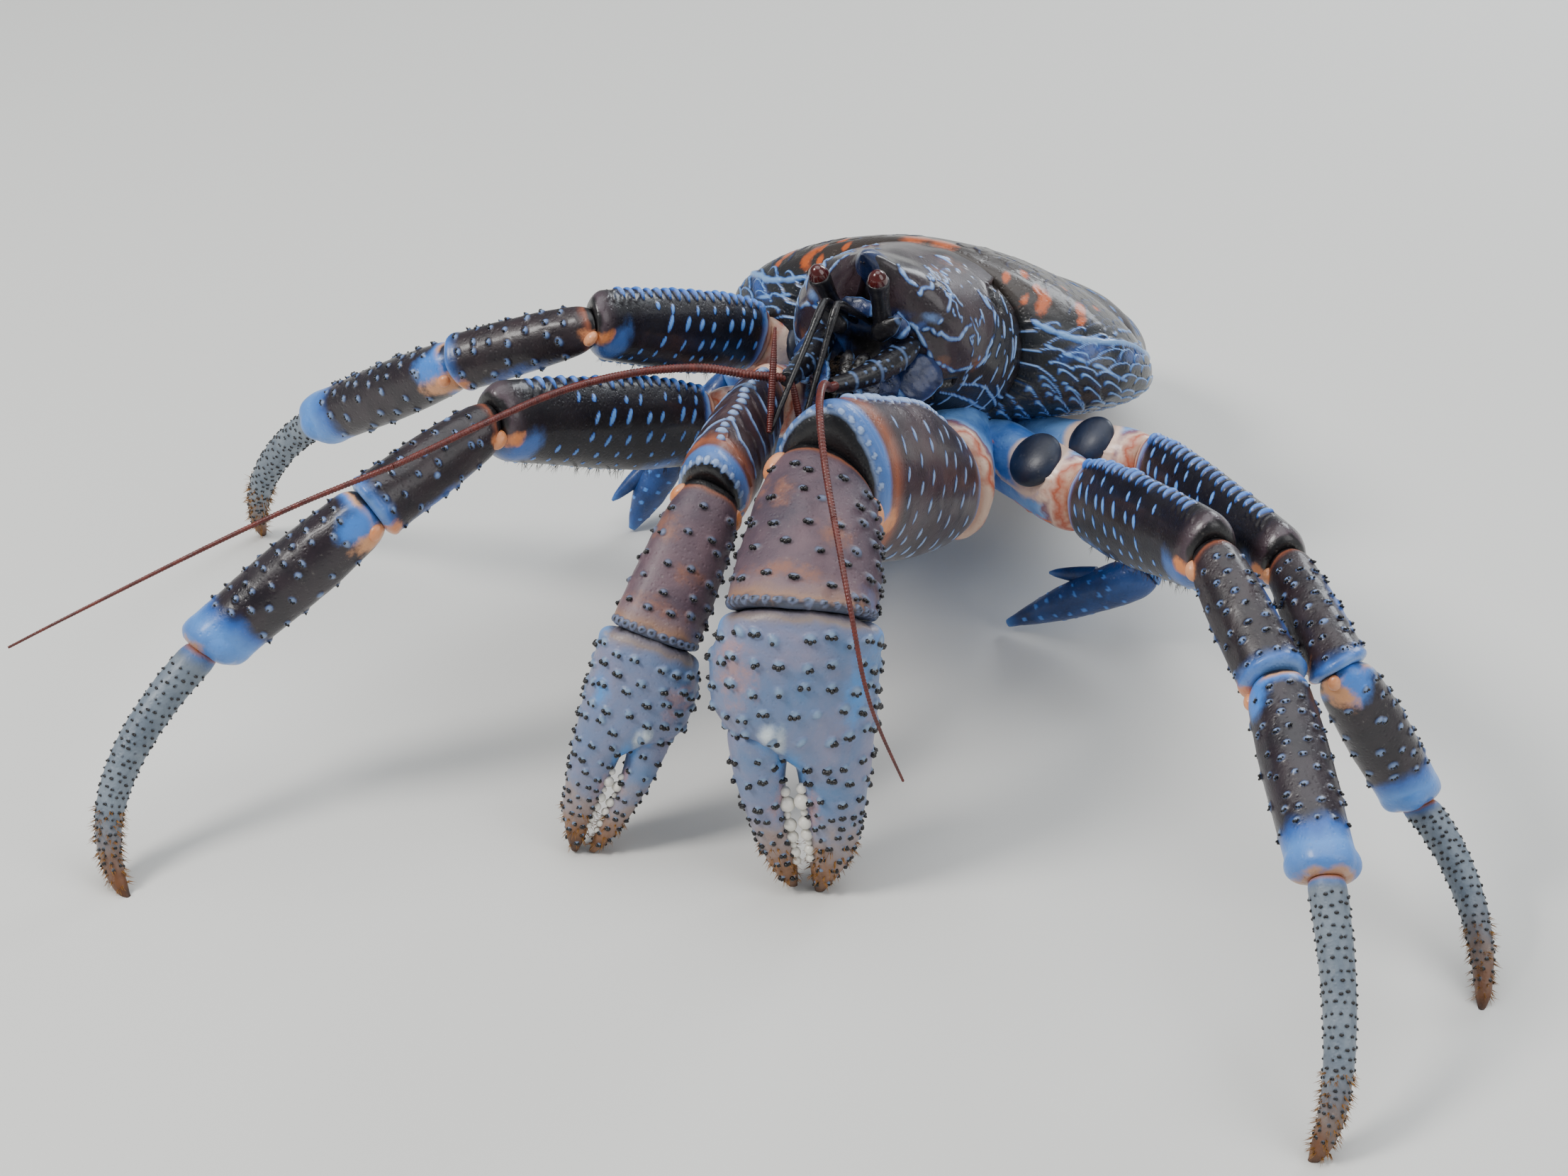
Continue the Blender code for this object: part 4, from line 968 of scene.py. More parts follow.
# %% The lobes
def scale_stamp(skin, t, degrees, long, wide, tall, seed):
    """Overlapping scales: each rises towards its free, upper edge, which carries the pale rim."""
    spots = skin.loft.spots(t, degrees)
    longs, wides = varied(long, len(t), seed, .15), varied(wide, len(t), seed + 1, .15)
    tilts = np.random.RandomState(seed).uniform(-.25, .25, len(t))
    for i in range(len(t)):
        here, normal, along, around = (part[i] for part in spots)
        up = around if math.cos(math.radians(degrees[i])) > 0 else -around
        rows = skin.window(t[i], longs[i])
        away = skin.points[rows] - here
        x = (away @ along) / (longs[i] / 2)
        y = (away @ up) / (wides[i] / 2) + tilts[i] * (away @ along) / longs[i]
        r = (np.abs(x) ** 2.6 + np.abs(y) ** 2.6) ** (1 / 2.6)
        r = r + np.where(np.abs(away @ normal) > longs[i], 9, 0)
        lift = tall * (.15 + .85 * np.clip((y + 1) / 2, 0, 1)) * np.clip((1 - r) / .09, 0, 1)
        skin.height[rows] = np.where(r < 1, lift, skin.height[rows])
        rim = np.clip(1.2 - np.abs(r - .89) / .10, 0, 1) * np.clip((y + .1) * 1.6, 0, 1)
        skin.masks["spot"][rows] = np.where(r < 1.03, rim, skin.masks["spot"][rows])
        tone = np.clip((y + .2), 0, 1) * np.clip((1 - r) * 3, 0, 1) * .32
        skin.masks["blue"][rows] = np.where(r < 1, tone, skin.masks["blue"][rows])


def scale_rows(loft, span, degrees, pitch, step, seed):
    """Places in staggered rows along the shell; pitch is their spacing along it, step between the rows."""
    dice = np.random.RandomState(seed)
    turn = np.radians(np.linspace(*degrees, 60))
    ring = loft.grid(np.array([.66]), turn)[1][0]
    run = np.concatenate(([0], np.cumsum(np.linalg.norm(np.diff(ring, axis=0), axis=1))))
    t, angles = [], []
    shares = np.linspace(*span, 60)
    for row, reached in enumerate(np.arange(0, run[-1], step)):
        angle = np.interp(reached, run, turn)
        side = loft.grid(shares, np.array([angle]))[1][:, 0]
        length = np.concatenate(([0], np.cumsum(np.linalg.norm(np.diff(side, axis=0), axis=1))))
        for place in np.arange(pitch * (.2 + .5 * (row % 2)), length[-1], pitch):
            t.append(np.interp(place + dice.uniform(-.12, .12) * pitch, length, shares))
            angles.append(math.degrees(angle) + dice.uniform(-1.2, 1.2))
    return np.array(t), np.array(angles)


rear = Skin(body_loft(REAR_SECTIONS, 1.78), 189, 512, shoulders=(3.0, 5.0), drop=(.03, .14))
rear.wobble(16, .4, 5)
dome_scales = scale_rows(rear.loft, (.50, .99), (80, 26), 7.5 * MM, 4.6 * MM, 30)
side_scales = scale_rows(rear.loft, (.423, .99), (19, -70), 8.0 * MM, 3.8 * MM, 31)
for flip in (False, True):
    for (t, degrees), tall, kept in ((dome_scales, .22, False), (side_scales, .75, True)):
        before = {mask: rear.masks[mask].copy() for mask in ("spot", "blue")}
        scale_stamp(rear, t, 180 - degrees if flip else degrees, 9.8 * MM, 5.6 * MM, tall * MM, 40 + flip)
        if not kept:
            rear.masks["spot"] = before["spot"] * .7 + rear.masks["spot"] * .3
            rear.masks["blue"] = before["blue"]
BORDER = ((.42, 27), (.432, 23), (.452, 20), (.475, 20), (.52, 21), (.58, 22), (.66, 19), (.74, 15),
          (.82, 12))
for line in both_sides((BORDER,)):
    rear.trace(line, 2.4, 1.1, wiggle=.12)
for line in both_sides((((.424, 14), (.45, 9), (.49, 5), (.54, 0)), ((.56, 27), (.62, 30), (.70, 28)))):
    rear.trace(line, 1.4, .6)
for line in both_sides((((.44, 66), (.5, 70), (.56, 62)), ((.62, 76), (.70, 79), (.78, 74)),
                        ((.43, 34), (.46, 44), (.48, 58), (.47, 72)))):
    rear.trace(line, 1.3, -.4, None)
ORANGE = ((.453, 40, 8, 11), (.438, 54, 4, 6), (.489, 57, 5, 7), (.43, 40, 4, 5), (.518, 38, 6, 9),
          (.493, 31, 5, 5), (.468, 48, 5, 5), (.56, 50, 4, 6), (.452, 84, 13, 17), (.60, 40, 5, 5))
for t, degrees, long, wide in ORANGE:
    for angle in (degrees, 180 - degrees):
        rear.patch("warm", t, angle, long * .85, wide * .7, .8)
for t, degrees, long, wide in ((.47, 14, 22, 7), (.60, 16, 24, 6)):
    for angle in (degrees, 180 - degrees):
        rear.patch("blue", t, angle, long, wide, 1.4)
keep(rear.mesh_object("lobes", LOBES), "shell", "carapace_rear")
print("lobe points:", rear.height.size)

# %% The breast and the abdomen
breast = Skin(body_loft(STERNUM_SECTIONS, 2.2), 72, 80)
breast.wobble(9, .5, 8)
keep(breast.mesh_object("breast", BELLY), "breast", "sternum")

ABDOMEN_LINE = ((0, 90, 60), (0, 112, 46), (0, 131, 33), (0, 147, 22), (0, 159, 13.5), (0, 167, 8),
                (0, 177, 4))
ABDOMEN_GIRTHS = ((42, 20, 20), (47, 21, 22), (44, 20, 22), (37, 17, 19), (29, 12, 14), (21, 8, 9),
                  (10, 3.5, 5))
PLATE_LIP = 1.8 * MM
TAIL_FAR = (5.0, .5, ((0, "3f74c0", 1), (.4, "2a3a5c", .8), (1, "1a161b", 0)))
ABDOMEN_PAINT = shell_finish("tail_plates", "1a161b", "3c2f31", spot="3f70b4", spot_edge="25477c",
                             scale=50.0, far=TAIL_FAR, top=(-.1, -.7, "8a6c66", .85), coat=.3)


def make_abdomen():
    """The tail's plates: each swells towards its raised hind lip and tucks in under the plate before it."""
    joints = [mm(p) for p in ABDOMEN_LINE]
    planes = mitres(joints)
    last = len(joints) - 2
    for i in range(len(joints) - 1):
        low, high = (mm(ABDOMEN_GIRTHS[k]) for k in (i, i + 1))
        lip = np.array((.6, 1, .4)) * (0 if i == last else PLATE_LIP)
        table = ((0, *low), (.5, *(low * .5 + high * .5 + lip / 2)),
                 (.88, *(low * .12 + high * .88 + lip)), (1, *high))
        shape = Loft((joints[i], joints[i + 1]), (0, 0, 1), table, 1.0, (planes[i], planes[i + 1]), 2.3)
        skin = Skin(shape, 48, 144, shoulders=(2.0, 1.6), drop=(.03, .03))
        skin.wobble(12, .3, 60 + i)
        t, degrees = scattered(shape, (.15, .8), (20, 160), 6, 70 + i)
        skin.bumps(t, degrees, (4, 1.6, .3), (i, i + 9, i + 3))
        name = "telson" if i == last else f"abdomen_{i + 1}"
        keep(skin.mesh_object(f"tail_plate_{i + 1}", ABDOMEN_PAINT), "shell", name)


make_abdomen()
print("tail plates done")

# %% [markdown]
# ## The walking legs
# Each leg has five segments. The thigh is deep and flattened, with a toothed crest on top and rows of
# raised blue ovals on its sides, which lie across it. Knee and shin carry knobs with black points, and
# the last segment is a curved, spiny toe with golden bristles near its tip.

# %% Leg sizes and joints
LEG_SIZES = {"front": (28, 19.5, 20.5, 11.5), "rear": (24.5, 17.5, 18.5, 10.5)}
LEG_JOINTS = {
    "leg_front_right": ((-22, 20, 58), (-53, -18, 64), (-81, -105, 104), (-100, -143, 92), (-138, -177, 55)),
    "leg_front_left": ((22, 20, 58), (67, -2, 57), (127, -75, 92), (155, -105, 76), (185, -157, 55)),
    "leg_rear_right": ((-24, 36, 50), (-50, 17, 78.5), (-71, -58, 115), (-111, -67, 99), (-167, -59, 63)),
    "leg_rear_left": ((22, 34, 52), (81, 17, 62), (144, -58, 84), (170, -94, 77), (193, -84, 33)),
}
DACTYL_BENDS = {
    "leg_front_right": ((-151, -203, 38), (-158, -217, 14), (-140, -224, -1)),
    "leg_front_left": ((195, -172, 38), (206, -196, 14), (198, -201, -1)),
    "leg_rear_right": ((-186, -52, 48), (-206, -46, 22), (-206, -36, -1)),
    "leg_rear_left": ((208, -92, 26), (222, -108, 12), (224, -124, -1)),
}
MERUS = ((0, .24, .36, .34), (.10, .30, .44, .42), (.35, .33, .50, .46), (.75, .32, .46, .40),
         (.94, .33, .42, .37), (1, .30, .38, .34))
CARPUS = ((0, .32, .34, .32), (.12, .38, .42, .38), (.45, .44, .49, .44), (.85, .46, .50, .47),
          (.96, .47, .50, .47), (1, .44, .47, .44))
PROPODUS = ((0, .36, .38, .37), (.10, .42, .45, .43), (.45, .46, .50, .48), (.85, .44, .47, .46),
            (.95, .45, .48, .48), (1, .40, .42, .42))
DACTYL = ((0, .44, .48, .46), (.12, .42, .46, .44), (.45, .37, .42, .40), (.75, .30, .34, .32),
          (.92, .20, .22, .20), (1, .08, .09, .08))
LEG_BASE = ((0, .34, .40, .40), (.45, .36, .44, .42), (.85, .38, .48, .46), (1, .33, .42, .40))
UP = (0.0, 0, 1)


def crest(skin, span, count, degrees, size, seed, strength=1.0):
    """A row of blunt, pale-blue teeth along the top of a segment."""
    t, angles = in_rows(span, count, (degrees,), seed, .04)
    skin.bumps(t, angles, size, (seed, seed + 1, seed + 2), (.2, .1, .2), power=.6, strength=strength)


def knobs(skin, t, degrees, size, seed):
    """Low knobs, each with two or three black points; returns the points' roots and directions."""
    long, wide, tall = (v * MM for v in size)
    here, normal, along, around = skin.loft.spots(t, degrees)
    skin.stamp((here, normal, along, around), t, varied(long, len(t), seed), varied(wide, len(t), seed + 1),
               varied(tall, len(t), seed + 2), sharp=.8)
    dice = np.random.RandomState(seed)
    roots, ways = [], []
    for offset in (-1, 0, 1):
        kept = dice.uniform(size=len(here)) > (.2 if offset else .3)
        roots.append((here + around * offset * long * .26 + along * wide * (.24 - .1 * abs(offset))
                      + normal * tall * .66)[kept])
        ways.append((normal + around * offset * .3 + along * .35)[kept])
    return np.concatenate(roots), np.concatenate(ways)


class Points:
    """Gathers the black points of a limb, to be joined into one mesh."""

    def __init__(self):
        self.roots, self.ways, self.radii, self.heights = [], [], [], []

    def take(self, places, radius, height, seed):
        self.roots.append(places[0])
        self.ways.append(places[1])
        self.radii.append(varied(radius * MM, len(places[0]), seed, .25))
        self.heights.append(varied(height * MM, len(places[0]), seed + 1, .35))

    def build(self, name, slot):
        parts = [np.concatenate(part) for part in (self.roots, self.ways, self.radii, self.heights)]
        return keep(spines(name, *parts, BLACK_POINTS, waist=.85), slot)


def dome(name, loft, t, degrees, size, finish, slot, sink=.25):
    """A smooth knuckle half sunk in a segment; size is its length, width round it and height, in mm."""
    here, normal, along, around = (part[0] for part in loft.spots([t], [degrees]))
    long, wide, tall = size * MM
    turn, rise = np.linspace(0, 2 * np.pi, 40, endpoint=False), np.linspace(-.35, np.pi / 2, 18)[:-1]
    ring = np.cos(rise)[:, None, None] * (along * long / 2 * np.cos(turn)[None, :, None]
                                          + around * wide / 2 * np.sin(turn)[None, :, None])
    rows = here + ring + normal * tall * (np.sin(rise) - sink)[:, None, None]
    ends = np.array((here - normal * tall * .5, here + normal * tall * (1 - sink)))
    return keep(tube_mesh(name, rows, ends, finish, np.dot(np.cross(along, around), normal) < 0), slot)


HAIRS_IN_A_TUFT = 5


def tufts(name, loft, span, degrees, spacing, length, seed, slot="dactyl_grey", forward=.6,
          finish=HAIR_PAINT, thin=.11):
    """Bristles in small bundles: thin spikes joined into one mesh that has its own places for colour."""
    t, angles = scattered(loft, span, degrees, spacing, seed, .4)
    dice = np.random.RandomState(seed)
    t, angles = np.repeat(t, HAIRS_IN_A_TUFT), np.repeat(angles, HAIRS_IN_A_TUFT)
    here, normal, along = loft.spots(t, angles)[:3]
    ways = normal + along * forward + dice.normal(size=here.shape) * .25
    roots = here + dice.normal(size=here.shape) * .25 * MM
    radii, lengths = varied(thin * MM, len(t), seed), varied(length * MM, len(t), seed + 1, .4)
    made = spines(name, roots, ways, radii, lengths, finish, sides=3,
                  uv=np.stack((angles / 360 % 1, t), -1))
    return keep(made, slot)


SLANT = math.radians(24)
# rows of ovals on a thigh's flank: height as an angle, how many, how far along they reach, sizes in mm
THIGH_ROWS = ((52, 7, .78, (3.4, 1.4, .4)), (26, 7, .70, (4.8, 1.7, .5)), (0, 7, .72, (3.3, 1.5, .4)),
              (-24, 8, .84, (2.0, 1.4, .3)), (-46, 10, .95, (1.5, 1.1, .3)))


def make_thigh(prefix, merus, seed, face):
    """The thigh: a comb of pale teeth on top, bright ovals on its flanks, small ones on its lower edge."""
    skin = Skin(merus, 208, 128, shoulders=(4.0, 6.0), drop=(.14, .34))
    skin.wobble(13, .3, seed + 1)
    inward = -1 if face == 0 else 1
    crest(skin, (.06, .90), 18, 90 + inward * 8, (5.0, 1.35, 1.3), seed, .62)
    for side in (1, -1):
        for row, (angle, count, reach, size) in enumerate(THIGH_ROWS):
            turned = 90 - side * (90 - angle)
            t, degrees = in_rows((.10 + .03 * (row % 2), reach), count, (turned,), seed + row, .26)
            here, normal, along, around = merus.spots(t, degrees + side * 3 * np.sin(9 * t))
            c, s = math.cos(SLANT), math.sin(SLANT) * side
            skin.stamp((here, normal, along * c + around * s, around * side * c - along * s * side), t,
                       *(varied(v * MM, len(t), seed + row + k, .3) for k, v in enumerate(size)))
    for k in range(5):
        start = .78 + .035 * k
        skin.trace(((start, 88), (start + .03, 90 + inward * 28)), 1.3, .55, None, seed=k)
    crest(skin, (.12, .95), 18, -86, (2.4, 2.2, .8), seed + 6)
    skin.patch("blue", .93, face + inward * 28, 15, 15)
    skin.patch("blue", .25, face + inward * 50, 26, 9, 1.4)
    skin.patch("warm", .97, face + inward * 8, 7, 6)
    keep(skin.mesh_object(f"{prefix}_thigh", MERUS_PAINT), "leg_dark", f"{prefix}_merus")


def make_leg(prefix, seed):
    """One walking leg with its crest, spots, knobs, points, knuckles and bristles."""
    sizes = LEG_SIZES["front" if "front" in prefix else "rear"]
    merus_depth, carpus_depth, propodus_depth, dactyl_depth = sizes
    bends = [mm(p) for p in DACTYL_BENDS[prefix]]
    joints = [mm(p) for p in LEG_JOINTS[prefix]] + [bends[-1]]
    depths = np.array((merus_depth * .92, merus_depth, carpus_depth, propodus_depth, dactyl_depth)) * MM
    base, merus, carpus, propodus, dactyl = limb_lofts(
        joints, (LEG_BASE, MERUS, CARPUS, PROPODUS, DACTYL), depths, [UP] * 5, bends, (0, .14, .06, 0, 0))
    face = 0 if prefix.endswith("left") else 180
    inward = -1 if face == 0 else 1
    scale = merus_depth / 28
    points = Points()

    skin = Skin(base, 96, 96, shoulders=(3.0, 4.0), drop=(.1, .2))
    skin.wobble(11, .7, seed)
    for k, angle in enumerate((40, 10, -30)):
        skin.trace(((.30 + .05 * k, face - inward * angle), (.62, face - inward * (angle - 14)),
                    (.9, face - inward * (angle - 8))), 1.6, .7, "pale" if k == 1 else "warm", seed=k)
    skin.patch("warm", .80, face - inward * 12, 13, 12, 1.3)
    skin.patch("pale", .70 if "front" in prefix else .74, 90 + inward * 38, 19, 20, .3)
    skin.patch("pale", .84, face - inward * 4, 8, 8, 1.2)
    keep(skin.mesh_object(f"{prefix}_root", BASE_PAINT), "joint_blue", f"{prefix}_base")
    dome(f"{prefix}_knuckle", base, .70 if "front" in prefix else .74, 90 + inward * 38,
         np.array((17, 18, 4.2)) * scale, CONDYLE_PAINT, "stalk_dark", .18)

    make_thigh(prefix, merus, seed, face)

    skin = Skin(carpus, 104, 96, shoulders=(4.0, 2.6), drop=(.14, .16), lip=.4 * MM)
    skin.wobble(9, .35, seed + 3)
    for t_span, degrees, spacing, size in (
            ((.12, .95), (20, 160), 4.6, 2.5), ((.15, .95), (-70, 20), 6.0, 2.9),
            ((.15, .95), (160, 250), 6.0, 2.9)):
        places = scattered(carpus, t_span, degrees, spacing, seed + 8)
        points.take(knobs(skin, *places, (size, size * .8, .7), seed), .40, .62, seed)
    skin.patch("blue", .55, face + inward * 42, 30, 9, 1.3)
    skin.patch("warm", .03, face + inward * 10, 8, 7)
    skin.patch("warm", .97, face + inward * 30, 7, 9)
    keep(skin.mesh_object(f"{prefix}_knee", CARPUS_PAINT), "leg_dark", f"{prefix}_carpus")
    dome(f"{prefix}_knee_hinge", carpus, .045, face + inward * 8, np.array((5.5, 5, 2.6)) * scale,
         HINGE_PAINT, "joint_blue")

    skin = Skin(propodus, 144, 96, shoulders=(4.0, 6.5), drop=(.2, .36))
    skin.wobble(9, .25, seed + 9)
    smooth_cap = 1 - 12 * MM / propodus.length
    for t_span, degrees, spacing, size in (
            ((.08, smooth_cap), (25, 155), 4.6, 2.4), ((.14, smooth_cap), (-75, 25), 6.2, 2.9),
            ((.14, smooth_cap), (155, 255), 6.2, 2.9)):
        places = scattered(propodus, t_span, degrees, spacing, seed + 10)
        points.take(knobs(skin, *places, (size, size * .85, .65), seed), .40, .62, seed + 11)
    for angle in (face, face + 180):
        skin.swelling(.955, angle, (11 * scale, 9 * scale, 1.3), 1.2)
    skin.patch("blue", .10, face - inward * 20, 16, 12)
    skin.patch("warm", .07, face + inward * 24, 18, 9)
    keep(skin.mesh_object(f"{prefix}_shin", PROPODUS_PAINT), "leg_dark", f"{prefix}_propodus")
    dome(f"{prefix}_shin_hinge", propodus, .05, face + inward * 14, np.array((5, 4.5, 1.8)) * scale,
         HINGE_PAINT, "joint_blue")

    skin = Skin(dactyl, 152, 72, shoulders=(3.5, 0), drop=(.22, 0))
    skin.wobble(6, .2, seed + 12)
    places = scattered(dactyl, (.05, .88), (0, 360), 2.4, seed + 13)
    points.take(knobs(skin, *places, (1.2, 1.2, .25), seed), .36, .36, seed + 14)
    keep(skin.mesh_object(f"{prefix}_toe", DACTYL_PAINT), "dactyl_grey", f"{prefix}_dactyl")
    points.build(f"{prefix}_points", "dactyl_grey")
    tufts(f"{prefix}_bristles", dactyl, (.60, .96), (0, 360), 2.4, 2.1, seed + 15)
    tufts(f"{prefix}_hem", merus, (.1, .9), (-115, -65), 4.2, 2.6, seed + 16, slot="leg_dark", forward=.2,
          finish=FUZZ_PAINT, thin=.08)


for number, prefix in enumerate(LEG_JOINTS):
    make_leg(prefix, 100 + 30 * number)
print("legs done")

# %% [markdown]
# ## The claws
# The left claw is the larger. Its arm is broad and crested, its wrist is a wide shield of brownish pink,
# and the hand is blue-grey and set with knobs that carry two or three black points each. The free finger
# closes against the fixed one, and both have blunt white teeth along their inner edges.

# %% Claw sizes and lofts
CLAW_SIZES = {"left": (47, 41, 47), "right": (29, 25, 31)}
CLAW_JOINTS = {
    "left": ((17, 13, 63), (29, -20, 62), (18, -92, 99), (28, -133, 83), (36, -146, 0)),
    "right": ((-18, 12, 64), (-30, -23, 82), (-14, -100, 92), (-17, -133, 64), (-31, -155, 0)),
}
CLAW_FACE = (0.38, -0.85, 0.36)
CLAW_MERUS = ((0, .22, .30, .30), (.15, .28, .40, .38), (.5, .34, .50, .46), (.85, .35, .50, .44),
              (.96, .35, .48, .42), (1, .32, .44, .38))
CLAW_CARPUS = ((0, .34, .28, .28), (.12, .40, .32, .32), (.4, .46, .34, .34), (.85, .50, .33, .33),
               (.97, .50, .33, .33), (1, .47, .30, .30))
PALM = (
    (0, .00, .36, .24), (.05, .00, .44, .27), (.16, .04, .50, .30), (.30, .05, .49, .30),
    (.38, .02, .45, .28), (.46, -.09, .32, .25), (.54, -.17, .225, .22), (.68, -.165, .19, .19),
    (.82, -.155, .15, .15), (.94, -.10, .08, .09), (1.0, -.07, .03, .035))
FINGER = ((.34, .18, .15, .16), (.42, .27, .185, .20), (.54, .27, .158, .185), (.68, .24, .128, .155),
          (.82, .18, .105, .115), (.93, .125, .065, .07), (.98, .09, .028, .03))


def hand_loft(side, wrist, tip, table, first=None):
    mirrored = [(t, shift * SIDES[side], half, thick) for t, shift, half, thick in table]
    return Loft((wrist, tip), CLAW_FACE, mirrored, CLAW_SIZES[side][2] * MM, (first, None), shift="side")


def bite(loft, face, edge, first, size, name):
    """Blunt white teeth along a finger's inner edge, as squat rounded studs joined into one mesh."""
    bulk = np.array((.75, 1.25, .55, 1.05, .9, .45, .75, .65))
    t = first + np.cumsum(bulk) * .047 - bulk * .0235
    here, normal, along, around = loft.spots(t, np.full(len(t), edge + (face - edge) * .33))
    turn, rise = np.linspace(0, 2 * np.pi, 16, endpoint=False), np.linspace(-np.pi / 2, np.pi / 2, 11)[1:-1]
    points, quads, fans = [], [], []
    for i, radius in enumerate(2.05 * MM * size * bulk ** .8):
        flat = np.cos(rise)[:, None, None] * (along[i] * np.cos(turn)[None, :, None]
                                              + around[i] * np.sin(turn)[None, :, None])
        tall = normal[i] * (.35 + .95 * np.sin(rise))[:, None, None]
        rows = here[i] + (flat + tall) * radius
        start = sum(len(p) for p in points)
        grid, fan = tube_faces(*rows.shape[:2], np.dot(np.cross(along[i], around[i]), normal[i]) < 0)
        points += [rows.reshape(-1, 3), here[i] + normal[i] * radius * np.array(((-.60,), (1.30,)))]
        quads.append(grid + start)
        fans.append(fan + start)
    points = np.concatenate(points) + SHIFT
    return keep(mesh_from_arrays(name, points, np.concatenate(quads), np.concatenate(fans), TOOTH_PAINT),
                "claw_blue")


def make_arm(prefix, side, merus, seed):
    """The claw's arm: a lace of pale teeth along its crest, long pale dashes, and a dark scalloped rim."""
    skin = Skin(merus, 216, 176, shoulders=(3.0, 6.0), drop=(.12, .26))
    skin.wobble(14, .4, seed + 1)
    lace = (5.6, 3.3, 1.7) if side == "left" else (3.2, 2.4, 1.1)
    crest(skin, (.06, .88), 16, 86 if side == "left" else 94, lace, seed)
    if side == "left":
        for row, angle in enumerate((66, 48, 30, 12, -6, -24, -42)):
            t, degrees = in_rows((.08, .76 - .03 * abs(row - 3)), 8, (angle,), seed + row, .18)
            skin.bumps(t, degrees, (6.0 - .45 * row, 1.35, .42), seed + row + np.arange(3), (.25,) * 3)
        t, degrees = scattered(merus, (.1, .8), (114, 240), 7.5, seed + 4, .16)
        skin.bumps(t, degrees, (4.5, 1.4, .4), seed + np.arange(3), (.25,) * 3)
    else:
        for k in range(9):
            start = .10 + .085 * k
            for low, high in ((84, 10), (96, 176)):
                dash = ((start, low), (start + .07, (low * 2 + high) / 3),
                        (start + .10, (low + 2 * high) / 3), (start + .10, high))
                skin.trace(dash, 1.5, .7, "spot" if k % 2 else None, seed=k)
    crest(skin, (.10, .92), 16, -84, (2.6, 2.8, 1.0), seed + 6)
    rim = np.linspace(-170, 170, 30 if side == "left" else 22)
    skin.bumps(np.full(len(rim), .975), rim, (2.2, 2.2, .5))
    for angle in (-20, 200):
        skin.patch("warm", .93, angle, 12, 12)
    keep(skin.mesh_object(f"{prefix}_arm", CLAW_MERUS_PAINT), "claw_brown", f"{prefix}_merus")


